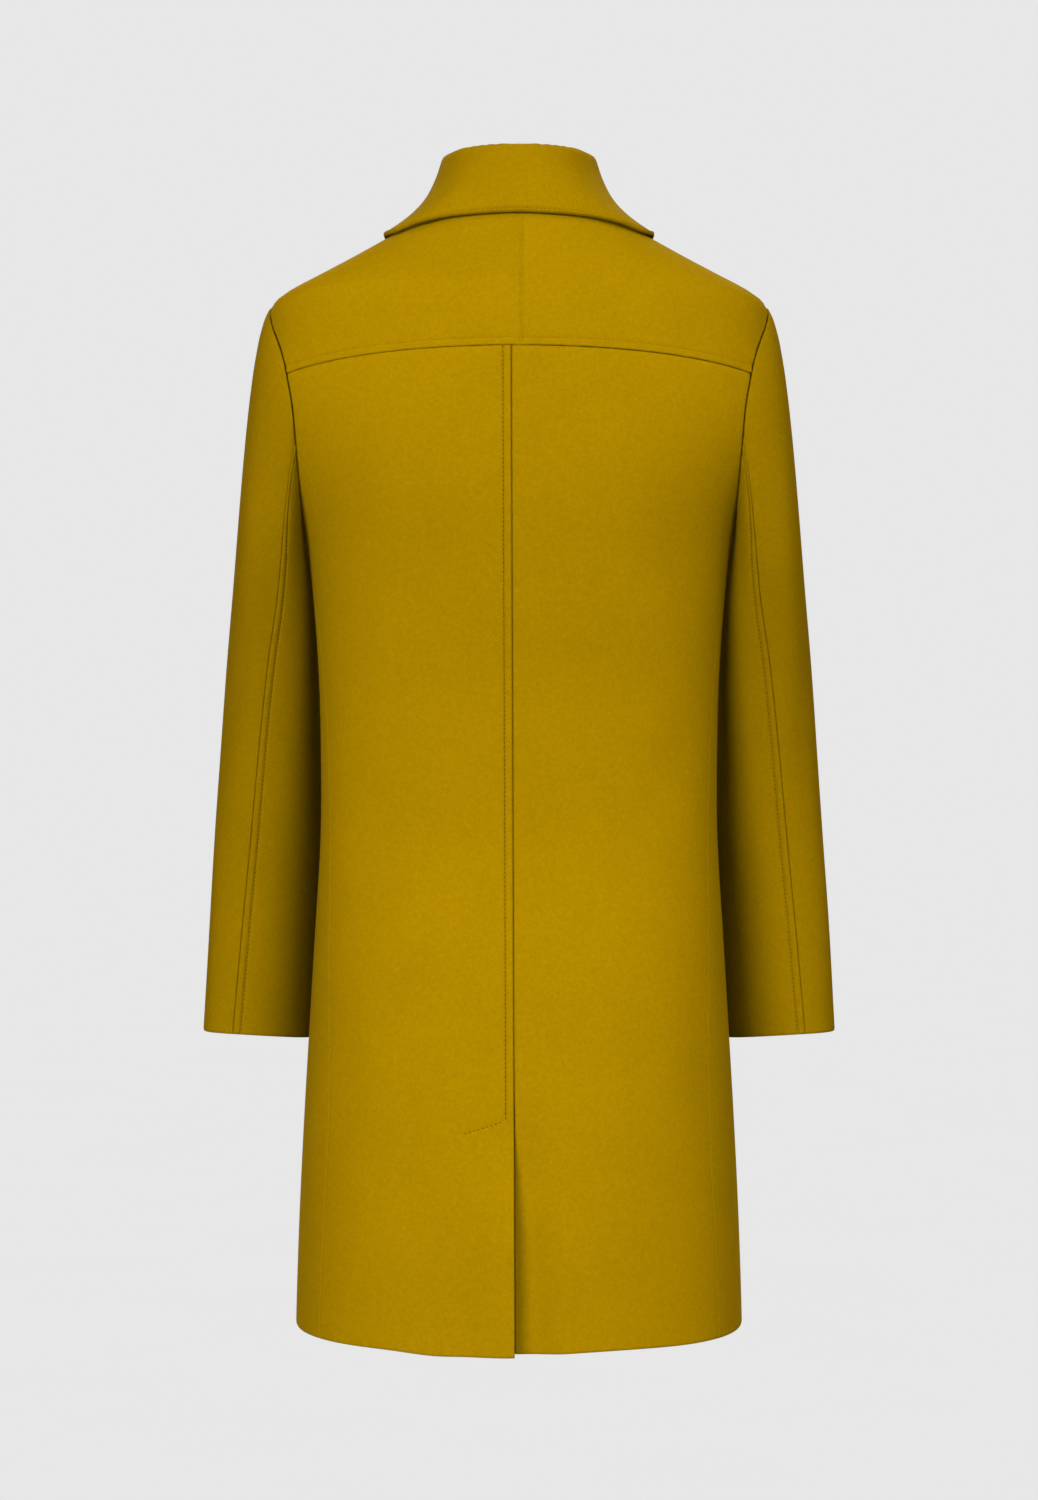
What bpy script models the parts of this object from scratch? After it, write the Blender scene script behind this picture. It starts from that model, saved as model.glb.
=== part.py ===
"""Winter coat of mustard wool, filled out as if worn, its back towards -Y and its front towards +Y.

The origin is on the shoulder line, between the two points where the shoulders meet the neck.
Every panel is a cloth wall cut out of three smooth surfaces: the body, the sleeves and the collar.
"""
import math

import bmesh
import bpy
import numpy as np

# Driving dimensions, in metres
CLOTH = 0.0025
COLLAR_CLOTH = 0.004
SEAM_GAP = 0.0003
HEM_HEIGHT = -0.952
CUFF_HEIGHT = -0.711

# Body: horizontal rings, each a superellipse with its own back and front depth
RING_POWER = 2.35
BODY_COLUMNS = ("height", "half_width", "back_depth", "front_depth")
BODY_ROWS = (
    (0.000, 0.0675, 0.0660, 0.0600),
    (-0.020, 0.1015, 0.0785, 0.0720),
    (-0.040, 0.1367, 0.0900, 0.0810),
    (-0.060, 0.1745, 0.0978, 0.0880),
    (-0.070, 0.1940, 0.1008, 0.0913),
    (-0.079, 0.2080, 0.1032, 0.0942),
    (-0.088, 0.2135, 0.1053, 0.0972),
    (-0.100, 0.2157, 0.1078, 0.1011),
    (-0.130, 0.2190, 0.1128, 0.1105),
    (-0.160, 0.2231, 0.1172, 0.1180),
    (-0.200, 0.2177, 0.1212, 0.1250),
    (-0.240, 0.1999, 0.1218, 0.1300),
    (-0.270, 0.1868, 0.1196, 0.1320),
    (-0.290, 0.1815, 0.1176, 0.1320),
    (-0.348, 0.1750, 0.1102, 0.1290),
    (-0.428, 0.1705, 0.1015, 0.1240),
    (-0.511, 0.1696, 0.1017, 0.1225),
    (-0.636, 0.1759, 0.1165, 0.1290),
    (-0.775, 0.1840, 0.1362, 0.1400),
    (-0.870, 0.1884, 0.1452, 0.1475),
    (-0.952, 0.1910, 0.1475, 0.1530),
)

# Neck seam
BACK_NECK_DROP = 0.012
FRONT_NECK_DROP = 0.070
FRONT_NECK_POWER = 4.0
SHOULDER_SEAM_ANGLE = 97.0

# Armhole: a loop on the body, turned from the shoulder tip (0) over the back (90) to the underarm (180)
ARMHOLE_TOP = -0.082
ARMHOLE_BOTTOM = -0.290
ARMHOLE_DEPTH = 0.0725
ARMHOLE_POWER = 1.4
YOKE_TURN = 68.8
BACK_SEAM_TURN = 101.6
SIDE_SEAM_TURN = 180.0
FRONT_SEAM_TURN = 260.0
SHOULDER_SEAM_TURN = 354.0
ARMHOLE_QUARTERS = (0.0, BACK_SEAM_TURN, SIDE_SEAM_TURN, FRONT_SEAM_TURN, 360.0)

# Side seam, from the armhole round towards the back
SIDE_COLUMNS = ("height", "angle")
SIDE_ROWS = (
    (-0.380, 75.0),
    (-0.540, 67.0),
    (-0.700, 60.0),
    (-0.830, 57.0),
    (-0.952, 58.0),
)

# Centre back seam and vent, the left panel over the right one
YOKE_SEAM_HEIGHT = -0.131
SEAM_X_TOP = -0.0066
SEAM_X_HEM = -0.0036
VENT_TOP = -0.766
UNDERLAP_TOP = -0.778
UNDERLAP_WIDTH = 0.040
UNDERLAP_SLOPE = 0.010
VENT_RECESS_TOP = 0.0032
VENT_RECESS_HEM = 0.0080
VENT_RECESS_REACH = 0.034
VENT_LIFT = 0.0035
VENT_LIFT_REACH = 0.050

# Front closing, the right panel over the left one
OVERLAP_HALF = 0.020
OVERLAP_RECESS = 0.0036
RECESS_START = 0.046
RECESS_FULL = 0.022

# Rows of the body panels between hem and armhole, shared by neighbours so that their seams match
SKIRT_HEIGHTS = (HEM_HEIGHT, -0.890, -0.830, UNDERLAP_TOP, VENT_TOP, -0.700, -0.620, -0.540, -0.460,
                 -0.380, -0.330)
BACK_COLUMNS = 8
FRONT_SHARES = (0.0, 0.039, 0.078, 0.142, 0.27, 0.40, 0.53, 0.64, 0.74, 0.87, 1.0)
SHOULDER_SHARES = (0.87, 0.74, 0.53, 0.27, 0.0)
FRONT_NECK_ANGLES = (178.0, 172.0, 160.0, 145.0, 130.0, 113.0)
ROW_BOW = 1.6

# Sleeve: rings below the cap, each an ellipse
SLEEVE_COLUMNS = ("height", "outer_x", "depth", "centre_y", "skew", "back_seam_turn")
SLEEVE_ROWS = (
    (-0.320, 0.2456, 0.0680, 0.018, 0.000, 104.0),
    (-0.400, 0.2549, 0.0620, 0.040, 0.005, 88.0),
    (-0.500, 0.2634, 0.0560, 0.060, 0.011, 77.0),
    (-0.600, 0.2706, 0.0500, 0.071, 0.015, 71.0),
    (CUFF_HEIGHT, 0.2776, 0.0450, 0.073, 0.015, 66.0),
)
FRONT_SLEEVE_TURN = 245.0
SLEEVE_CLEARANCE = 0.0012
CUFF_RISE = 0.0012
CUFF_SLANT = 0.0085
ARMHOLE_GAP = 0.0012
SLEEVE_SEAM_GAP = 0.0008
CAP_STEPS = (0.0, 0.09, 0.20, 0.36, 0.56, 0.78)
ARM_HEIGHTS = (-0.320, -0.345, -0.375, -0.430, -0.485, -0.540, -0.595, -0.650, CUFF_HEIGHT)

# How the sleeve leaves the armhole, by share of the way round: 0 tip, 1 back seam, 2 underarm
CAP_COLUMNS = ("share", "out", "back", "down", "start_length", "end_length")
CAP_ROWS = (
    (0.0, 0.720, 0.00, 0.69, 0.055, 0.300),
    (0.5, 0.620, 0.20, 0.75, 0.080, 0.220),
    (1.0, 0.220, 0.05, 0.97, 0.110, 0.115),
    (1.5, 0.120, 0.05, 0.99, 0.055, 0.055),
    (2.0, 0.050, 0.00, 1.00, 0.030, 0.030),
)

# Collar: a fold ring above the neck seam and an outer edge that rests on the body
FOLD_HALF_WIDTH = 0.0632
FOLD_CENTRE_Y = 0.026
FOLD_BACK = 0.084
FOLD_FRONT = 0.059
FOLD_HEIGHT = 0.0403
FOLD_CROWN = 0.0030
FOLD_FALL = 0.091
FOLD_FALL_START = 80.0
FOLD_FALL_POWER = 2.5
FOLD_LEAD = 18.0
FOLD_RADIUS = 0.003
FALL_FLARE = 0.22
FALL_ROLL = 0.30
FALL_REST = 0.36
NECK_SEAM_GAP = 0.0008
COLLAR_EDGE_COLUMNS = ("neck_angle", "body_angle", "body_height", "clearance")
COLLAR_EDGE_ROWS = (
    (0.0, 0.0, -0.0170, 0.0005),
    (30.0, 30.0, -0.0210, 0.0005),
    (60.0, 60.0, -0.0270, 0.0005),
    (90.0, 90.0, -0.0250, 0.0006),
    (120.0, 113.0, -0.0330, 0.0012),
    (135.0, 134.0, -0.0500, 0.0018),
    (150.0, 150.0, -0.0720, 0.0020),
    (165.0, 160.0, -0.1010, 0.0020),
    (178.0, 166.0, -0.1350, 0.0014),
)
STAND_STEPS = 4
FOLD_STEPS = 4
FALL_STEPS = 7

# Buttons down the centre front
BUTTON_HEIGHTS = (-0.115, -0.235, -0.355, -0.475)
BUTTON_RADIUS = 0.014
BUTTON_THICKNESS = 0.0045
BUTTON_STEPS = 24
BUTTON_LIFT = 0.0003

SHARP_EDGE_ANGLE = 40.0
WOOL_COLOUR = (0.430, 0.235, 0.004)
BUTTON_COLOUR = (0.060, 0.032, 0.014)


def column(rows, names, name):
    """One named column of a table, as an array."""
    return np.array([row[names.index(name)] for row in rows])


def smooth_curve(knots, values, at):
    """Height at `at` of a smooth curve through the knots that never overshoots them."""
    order = np.argsort(knots)
    knots = np.asarray(knots)[order]
    values = np.asarray(values)[order]
    steps = np.diff(knots)
    slopes = np.diff(values) / steps
    tangents = np.zeros(len(knots))
    tangents[0] = slopes[0]
    tangents[-1] = slopes[-1]
    for k in range(1, len(knots) - 1):
        before, after = slopes[k - 1], slopes[k]
        if before * after > 0:
            tangents[k] = 2 * before * after / (before + after)
    at = min(max(at, knots[0]), knots[-1])
    k = min(max(int(np.searchsorted(knots, at)) - 1, 0), len(steps) - 1)
    t = (at - knots[k]) / steps[k]
    return (values[k] * (1 + 2 * t) * (1 - t) ** 2 + values[k + 1] * t * t * (3 - 2 * t)
            + steps[k] * (tangents[k] * t * (1 - t) ** 2 - tangents[k + 1] * t * t * (1 - t)))


def look_up(rows, names, key, name, at):
    """Smooth value of one column of a table where its key column equals `at`."""
    return smooth_curve(column(rows, names, key), column(rows, names, name), at)


def unit(vector):
    return vector / np.linalg.norm(vector)


def blend(start, end, amount):
    return start + (end - start) * amount


def soft_step(amount):
    """Eases from 0 to 1 as `amount` goes from 0 to 1."""
    amount = min(max(amount, 0.0), 1.0)
    return amount * amount * (3 - 2 * amount)


# Body surface

def ring(height):
    """Half width, back depth and front depth of the body at a height."""
    return tuple(look_up(BODY_ROWS, BODY_COLUMNS, "height", name, height) for name in BODY_COLUMNS[1:])


def body_point(angle, height):
    """Outer face of the body cloth: angle 0 is centre back, 90 the right side, 180 centre front."""
    half_width, back, front = ring(height)
    sine, cosine = math.sin(math.radians(angle)), math.cos(math.radians(angle))
    power = 2 / RING_POWER
    depth = back if cosine > 0 else front
    x = half_width * math.copysign(abs(sine) ** power, sine)
    y = -depth * math.copysign(abs(cosine) ** power, cosine)
    return np.array((x, y, height))


def body_normal(angle, height):
    """Outward direction of the body surface, from the gradient of its ring equation."""
    x, y, _ = body_point(angle, height)
    step = 0.0005
    above, below = ring(height + step), ring(height - step)
    side = 1 if y < 0 else 2
    half_width, depth = ring(height)[0], ring(height)[side]
    across, along = abs(x) / half_width, abs(y) / depth
    width_slope = (above[0] - below[0]) / (2 * step)
    depth_slope = (above[side] - below[side]) / (2 * step)
    sideways = math.copysign(across ** (RING_POWER - 1) / half_width, x)
    backwards = math.copysign(along ** (RING_POWER - 1) / depth, y)
    upwards = -(across ** RING_POWER * width_slope / half_width + along ** RING_POWER * depth_slope / depth)
    return unit(np.array((sideways, backwards, upwards)))


def angle_at_x(x, height):
    """Angle on the back of the body, from centre back, where the surface has this x."""
    share = min(abs(x) / ring(height)[0], 1.0) ** (RING_POWER / 2)
    return math.copysign(math.degrees(math.asin(share)), x)


def angle_at_y(y, height):
    """Angle on the right side of the body where the surface has this y."""
    _, back, front = ring(height)
    depth = back if y < 0 else front
    share = min(abs(y) / depth, 1.0) ** (RING_POWER / 2)
    return 90 + math.copysign(math.degrees(math.asin(share)), y)


def armhole(turn):
    """Angle and height on the right side of the body of a point of the armhole loop."""
    middle = (ARMHOLE_TOP + ARMHOLE_BOTTOM) / 2
    height = middle + (ARMHOLE_TOP - ARMHOLE_BOTTOM) / 2 * math.cos(math.radians(turn))
    sine = math.sin(math.radians(turn))
    return angle_at_y(-math.copysign(ARMHOLE_DEPTH * abs(sine) ** ARMHOLE_POWER, sine), height), height


def even_turns(start, end, count):
    """Turns of `count` armhole points from start to end."""
    return [float(turn) for turn in np.linspace(start, end, count)]


YOKE_TURNS = even_turns(SHOULDER_SEAM_TURN - 360, YOKE_TURN, 6)
BLADE_TURNS = even_turns(YOKE_TURN, BACK_SEAM_TURN, 3)
UNDERARM_TURNS = even_turns(BACK_SEAM_TURN, SIDE_SEAM_TURN, 6)
FRONT_UNDERARM_TURNS = even_turns(SIDE_SEAM_TURN, FRONT_SEAM_TURN, 6)
CHEST_TURNS = even_turns(FRONT_SEAM_TURN, SHOULDER_SEAM_TURN, 5)
FRONT_ROWS = len(SKIRT_HEIGHTS) + len(FRONT_UNDERARM_TURNS) + len(CHEST_TURNS) - 1


def neck_height(angle):
    """Height of the neck seam on the body."""
    angle = abs(angle)
    if angle < 90:
        return -BACK_NECK_DROP * math.cos(math.radians(angle)) ** 2
    return -FRONT_NECK_DROP * ((min(angle, 360 - angle) - 90) / 90) ** FRONT_NECK_POWER


def side_seam(height):
    """Angle of the right side seam."""
    joint_angle, joint_height = armhole(SIDE_SEAM_TURN)
    knots = [joint_height] + list(column(SIDE_ROWS, SIDE_COLUMNS, "height"))
    angles = [joint_angle] + list(column(SIDE_ROWS, SIDE_COLUMNS, "angle"))
    return smooth_curve(knots, angles, height)


def shoulder_seam(share):
    """Angle and height on the right shoulder seam, from the neck (0) to the armhole (1)."""
    tip_angle, tip_height = armhole(SHOULDER_SEAM_TURN)
    neck = neck_height(SHOULDER_SEAM_ANGLE)
    return blend(SHOULDER_SEAM_ANGLE, tip_angle, share), blend(neck, tip_height, share)


def seam_x(height):
    """Sideways place of the centre back seam, which leans a little."""
    share = (height - HEM_HEIGHT) / (YOKE_SEAM_HEIGHT - HEM_HEIGHT)
    return blend(SEAM_X_HEM, SEAM_X_TOP, share)


# Panels as grids of points with their outward directions

def ruled_rows(inner_edge, outer_edge, shares):
    """Rows of (angle, height) between two edges, bowed so that a row leaves the inner edge level."""
    return [[(blend(inner[0], outer[0], share), blend(inner[1], outer[1], share ** ROW_BOW))
             for share in shares] for inner, outer in zip(inner_edge, outer_edge)]


def body_grid(rows, side=1, sunk=None):
    """Points and outward directions of a panel, mirrored for the left side and sunk where told."""
    points, normals = [], []
    for row in rows:
        for angle, height in row:
            point = body_point(side * angle, height)
            normal = body_normal(side * angle, height)
            if sunk:
                point = point - normal * sunk(point[0], height)
            points.append(point)
            normals.append(normal)
    shape = (len(rows), len(rows[0]), 3)
    return np.array(points).reshape(shape), np.array(normals).reshape(shape)


def drawn_in(points, edges, gap=SEAM_GAP):
    """Moves the named edges of a grid inwards by half the gap of a seam."""
    points = points.copy()
    lines = {
        "bottom": (np.s_[0, :], np.s_[1, :]),
        "top": (np.s_[-1, :], np.s_[-2, :]),
        "first": (np.s_[:, 0], np.s_[:, 1]),
        "last": (np.s_[:, -1], np.s_[:, -2]),
    }
    for edge in edges:
        line, neighbour = lines[edge]
        away = points[neighbour] - points[line]
        points[line] += away / np.linalg.norm(away, axis=-1, keepdims=True) * gap / 2
    return points


def cloth_wall(name, outer, inner, material, dropped=()):
    """Closed wall between an outer and an inner grid, without the cells (row, column) in `dropped`."""
    rows, columns = outer.shape[:2]
    mesh = bpy.data.meshes.new(name)
    bm = bmesh.new()
    number = bm.verts.layers.int.new("number")
    bmesh.ops.create_grid(bm, x_segments=columns - 1, y_segments=rows - 1, size=1.0)
    for k, vert in enumerate(bm.verts):
        vert[number] = k
        vert.co = outer.reshape(-1, 3)[k]
    gone = [face for face in bm.faces if divmod(min(v[number] for v in face.verts), columns) in dropped]
    bmesh.ops.delete(bm, geom=gone, context="FACES")
    lining = bmesh.ops.extrude_face_region(bm, geom=bm.faces[:], use_keep_orig=True)["geom"]
    for item in lining:
        if isinstance(item, bmesh.types.BMVert):
            item.co = inner.reshape(-1, 3)[item[number]]
    bmesh.ops.recalc_face_normals(bm, faces=bm.faces[:])
    bm.to_mesh(mesh)
    bm.free()
    mesh.shade_smooth()
    mesh.set_sharp_from_angle(angle=math.radians(SHARP_EDGE_ANGLE))
    mesh.materials.append(material)
    part = bpy.data.objects.new(name, mesh)
    bpy.data.collections["winter_coat"].objects.link(part)
    return part


def vent_sink(x, height):
    """How far the right back panel lies under the left one near the vent."""
    if height > VENT_TOP:
        return 0.0
    down = (VENT_TOP - height) / (VENT_TOP - HEM_HEIGHT)
    start = soft_step((VENT_TOP - height) / (VENT_TOP - UNDERLAP_TOP))
    depth = start * blend(VENT_RECESS_TOP, VENT_RECESS_HEM, down)
    return depth * (1 - soft_step((x - seam_x(height)) / VENT_RECESS_REACH))


def vent_lift(x, height):
    """Sink of the left back panel, negative because its vent edge lifts towards the hem."""
    down = max((VENT_TOP - height) / (VENT_TOP - HEM_HEIGHT), 0.0)
    return -VENT_LIFT * soft_step(down) * (1 - soft_step((seam_x(height) - x) / VENT_LIFT_REACH))


def closing_sink(x, height):
    """How far the left front lies under the right one near the centre front."""
    return OVERLAP_RECESS * soft_step((x + RECESS_START) / (RECESS_START - RECESS_FULL))


def back_outer_edge():
    """Side seam and back of the armhole of the right side, from the hem to the yoke."""
    skirt = [(side_seam(height), height) for height in SKIRT_HEIGHTS]
    turns = UNDERARM_TURNS[::-1] + BLADE_TURNS[::-1][1:]
    return skirt + [armhole(turn) for turn in turns]


def back_inner_heights(count):
    """Heights of the rows at the centre back."""
    upper = np.linspace(SKIRT_HEIGHTS[-1], YOKE_SEAM_HEIGHT, count - len(SKIRT_HEIGHTS) + 1)
    return list(SKIRT_HEIGHTS) + list(upper[1:])


def back_shares():
    return [k / BACK_COLUMNS for k in range(BACK_COLUMNS + 1)]


def make_back(name, side, sunk, material):
    """Back panel of one side; the right one has the vent underlap cut on."""
    outer_edge = back_outer_edge()
    heights = back_inner_heights(len(outer_edge))
    inner_edge = [(side * angle_at_x(seam_x(h) + side * SEAM_GAP / 2, h), h) for h in heights]
    rows = ruled_rows(inner_edge, outer_edge, back_shares())
    dropped = ()
    if side > 0:
        top = SKIRT_HEIGHTS.index(UNDERLAP_TOP)
        reaches = (1.0, 0.5)
        for k, (row, height) in enumerate(zip(rows, heights)):
            slope = UNDERLAP_SLOPE if k == top else 0.0
            row[:0] = [(angle_at_x(seam_x(height) - UNDERLAP_WIDTH * reach, height), height - slope * reach)
                       for reach in reaches]
        dropped = {(r, c) for r in range(top, len(rows)) for c in range(len(reaches))}
    points, normals = body_grid(rows, side, sunk)
    points = drawn_in(points, ("top",))
    points[:len(SKIRT_HEIGHTS) + 1] = drawn_in(points, ("last",))[:len(SKIRT_HEIGHTS) + 1]
    return cloth_wall(name, points, points - normals * CLOTH, material, dropped)


def make_yoke(material):
    """Back yoke, from the yoke seam over both shoulders to the neck."""
    edge = [armhole(turn) for turn in YOKE_TURNS[::-1]] + [shoulder_seam(share) for share in SHOULDER_SHARES]
    middle = [(angle_at_x(SEAM_X_TOP, h), h)
              for h in np.linspace(YOKE_SEAM_HEIGHT, neck_height(0.0), len(edge))]
    mirrored = [(-angle, height) for angle, height in edge]
    right = ruled_rows(middle, edge, back_shares())
    left = ruled_rows(middle, mirrored, back_shares())
    rows = [there[:0:-1] + here for there, here in zip(left, right)]
    rows[-1] = [(angle, neck_height(angle)) for angle, _ in rows[-1]]
    points, normals = body_grid(rows)
    shoulder = len(YOKE_TURNS) - 1
    points = drawn_in(points, ("bottom",))
    points[shoulder:] = drawn_in(points, ("first", "last"))[shoulder:]
    return cloth_wall("back_yoke", points, points - normals * CLOTH, material)


def front_inner_edge():
    """Front edge of a front from the hem to the neck, then the neck seam to the shoulder."""
    neck = [(angle, neck_height(angle)) for angle in FRONT_NECK_ANGLES + (SHOULDER_SEAM_ANGLE,)]
    upper = np.linspace(SKIRT_HEIGHTS[-1], -FRONT_NECK_DROP, FRONT_ROWS - len(neck) - len(SKIRT_HEIGHTS) + 1)
    heights = list(SKIRT_HEIGHTS) + list(upper[1:])
    return [(180 + angle_at_x(OVERLAP_HALF, height), height) for height in heights] + neck


def make_front(name, side, sunk, material):
    """Front panel of one side, from the hem to the shoulder seam."""
    skirt = [(side_seam(height), height) for height in SKIRT_HEIGHTS]
    outer_edge = skirt + [armhole(turn) for turn in FRONT_UNDERARM_TURNS + CHEST_TURNS[1:]]
    rows = ruled_rows(front_inner_edge(), outer_edge, FRONT_SHARES)
    rows[-1] = [shoulder_seam(share) for share in FRONT_SHARES]
    points, normals = body_grid(rows, side, sunk)
    points = drawn_in(points, ("top",))
    points[:len(SKIRT_HEIGHTS) + 1] = drawn_in(points, ("last",))[:len(SKIRT_HEIGHTS) + 1]
    return cloth_wall(name, points, points - normals * CLOTH, material)


# Sleeves

def sleeve_turn(share, height):
    """Turn round the sleeve ring for a share: 0 outside, 1 back seam, 2 inside, 3 front seam, 4 outside."""
    back = look_up(SLEEVE_ROWS, SLEEVE_COLUMNS, "height", "back_seam_turn", height)
    return float(np.interp(share, range(5), (0.0, back, 180.0, FRONT_SLEEVE_TURN, 360.0)))


def sleeve_ring(share, height):
    """Point of the right sleeve below its cap."""
    outer_x, depth, centre_y, skew = (look_up(SLEEVE_ROWS, SLEEVE_COLUMNS, "height", name, height)
                                      for name in ("outer_x", "depth", "centre_y", "skew"))
    inner_x = ring(height)[0] + SLEEVE_CLEARANCE
    turn = math.radians(sleeve_turn(share, height))
    down = (SLEEVE_ROWS[0][0] - height) / (SLEEVE_ROWS[0][0] - CUFF_HEIGHT)
    slant = CUFF_RISE - CUFF_SLANT * ((1 - math.cos(turn)) / 2) ** 2
    return np.array(((outer_x + inner_x) / 2 + (outer_x - inner_x) / 2 * math.cos(turn),
                     centre_y - depth * math.sin(turn) - skew * math.cos(turn),
                     height + down * slant))


def armhole_turn(share):
    """Turn on the armhole loop for a share of the way round the sleeve."""
    return float(np.interp(share, range(5), ARMHOLE_QUARTERS))


def sleeve_share(turn):
    """Share of the way round the sleeve for a turn on the armhole loop."""
    rounds, rest = divmod(turn, 360)
    return 4 * rounds + float(np.interp(rest, ARMHOLE_QUARTERS, range(5)))


def sleeve_point(share, along):
    """Outer face of the right sleeve: along 0 is the armhole, 1 the end of the cap, 2 the cuff."""
    share = share % 4
    cap_end = SLEEVE_ROWS[0][0]
    if along >= 1:
        return sleeve_ring(share, blend(cap_end, CUFF_HEIGHT, along - 1))
    mirrored = min(share, 4 - share)
    out, back, down, start_length, end_length = (
        look_up(CAP_ROWS, CAP_COLUMNS, "share", name, mirrored) for name in CAP_COLUMNS[1:])
    forward = 1 if share > 2 else -1
    leave = unit(np.array((out, forward * back, -down)))
    angle, height = armhole(armhole_turn(share))
    start = body_point(angle, height) + ARMHOLE_GAP * unit(leave + body_normal(angle, height))
    end = sleeve_ring(share, cap_end)
    arrive = unit(sleeve_ring(share, cap_end - 0.01) - end)
    t = along
    return (start * (1 + 2 * t) * (1 - t) ** 2 + end * t * t * (3 - 2 * t)
            + leave * start_length * t * (1 - t) ** 2 - arrive * end_length * t * t * (1 - t))


def sleeve_normal(share, along):
    """Outward direction of the right sleeve."""
    step = 0.01
    low, high = max(along - step, 0.0), min(along + step, 2.0)
    lengthwise = sleeve_point(share, high) - sleeve_point(share, low)
    around = sleeve_point(share + step, along) - sleeve_point(share - step, along)
    return unit(np.cross(around, lengthwise))


def seam_direction(normal, share):
    """Direction of the sleeve's edge at the armhole, in line with the body's where the two run on."""
    body = body_normal(*armhole(armhole_turn(share % 4)))
    return unit(blend(normal, body, soft_step(2 * np.dot(normal, body))))


def make_sleeve_half(name, side, turns, material):
    """One panel of a sleeve, between its two seams."""
    shares = [sleeve_share(turn) for turn in turns]
    arm_length = ARM_HEIGHTS[0] - CUFF_HEIGHT
    steps = list(CAP_STEPS) + [1 + (ARM_HEIGHTS[0] - height) / arm_length for height in ARM_HEIGHTS]
    points = np.array([[sleeve_point(share, along) for share in shares] for along in steps])
    normals = np.array([[sleeve_normal(share, along) for share in shares] for along in steps])
    normals[0] = [seam_direction(normal, share) for normal, share in zip(normals[0], shares)]
    points = drawn_in(points, ("first", "last"), SLEEVE_SEAM_GAP)
    mirror = np.array((side, 1, 1))
    return cloth_wall(name, points * mirror, (points - normals * CLOTH) * mirror, material)


# Collar

def collar_section(angle):
    """Middle line of the collar at a neck angle: stand, fold and fall."""
    neck = body_point(angle, neck_height(angle))
    normal = body_normal(angle, neck_height(angle))
    lead = angle - FOLD_LEAD * math.sin(math.radians(angle))
    turn = math.radians(lead)
    depth = FOLD_BACK if abs(lead) < 90 else FOLD_FRONT
    drop = max((abs(lead) - FOLD_FALL_START) / (180 - FOLD_FALL_START), 0.0) ** FOLD_FALL_POWER
    fold = np.array((FOLD_HALF_WIDTH * math.sin(turn), FOLD_CENTRE_Y - depth * math.cos(turn),
                     FOLD_HEIGHT + FOLD_CROWN * math.sin(turn) ** 2 - FOLD_FALL * drop))
    outward = unit(np.array((math.sin(turn) / FOLD_HALF_WIDTH, -math.cos(turn) / depth, 0.0)))
    upward = np.array((0.0, 0.0, 1.0))

    uphill = unit(upward - normal * normal[2])
    base = neck - normal * CLOTH / 2 + uphill * NECK_SEAM_GAP
    stand_top = fold - outward * FOLD_RADIUS
    rise = np.linalg.norm(stand_top - base)
    stand = bezier(base, base + uphill * rise / 6, stand_top - upward * rise / 3, stand_top, STAND_STEPS)

    arc = [fold + FOLD_RADIUS * (upward * math.sin(bend) - outward * math.cos(bend))
           for bend in np.linspace(0, math.pi, FOLD_STEPS + 1)]

    side = math.copysign(1, angle)
    edge_angle, edge_height, clearance = (
        look_up(COLLAR_EDGE_ROWS, COLLAR_EDGE_COLUMNS, "neck_angle", name, abs(angle))
        for name in COLLAR_EDGE_COLUMNS[1:])
    edge_normal = body_normal(side * edge_angle, edge_height)
    edge = body_point(side * edge_angle, edge_height) + edge_normal * (clearance + COLLAR_CLOTH / 2)
    fall_top = fold + outward * FOLD_RADIUS
    back_up = fall_top - edge
    length = np.linalg.norm(back_up)
    along = unit(back_up - edge_normal * np.dot(back_up, edge_normal))
    roll = (outward * FALL_FLARE - upward) * length * FALL_ROLL
    fall = bezier(fall_top, fall_top + roll, edge + along * length * FALL_REST, edge, FALL_STEPS)
    return stand + arc[1:-1] + fall


def bezier(start, start_handle, end_handle, end, steps):
    """Points along a cubic curve."""
    return [start * (1 - t) ** 3 + start_handle * 3 * t * (1 - t) ** 2
            + end_handle * 3 * t * t * (1 - t) + end * t ** 3
            for t in np.linspace(0, 1, steps + 1)]


def grid_normals(points):
    """Directions across a grid, from its own rows and columns."""
    normals = np.cross(np.gradient(points, axis=1), np.gradient(points, axis=0))
    return normals / np.linalg.norm(normals, axis=-1, keepdims=True)


def make_collar(material):
    """Collar folded from one layered piece, its two ends meeting at the centre front."""
    front = list(FRONT_NECK_ANGLES) + [SHOULDER_SEAM_ANGLE]
    middle = angle_at_x(SEAM_X_TOP, neck_height(0.0))
    back = [blend(middle, SHOULDER_SEAM_ANGLE, share) for share in back_shares()]
    back_left = [blend(middle, -SHOULDER_SEAM_ANGLE, share) for share in back_shares()]
    angles = [-angle for angle in front[:-1]] + back_left[::-1] + back[1:] + front[-2::-1]
    points = np.array([collar_section(angle) for angle in angles]).transpose(1, 0, 2)
    normals = grid_normals(points)
    seam_normals = np.array([body_normal(angle, neck_height(angle)) for angle in angles])
    normals[0] = seam_normals * np.sign(np.sum(seam_normals * normals[0], axis=1, keepdims=True))
    half = normals * COLLAR_CLOTH / 2
    return cloth_wall("collar", points + half, points - half, material)


# Buttons

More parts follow.
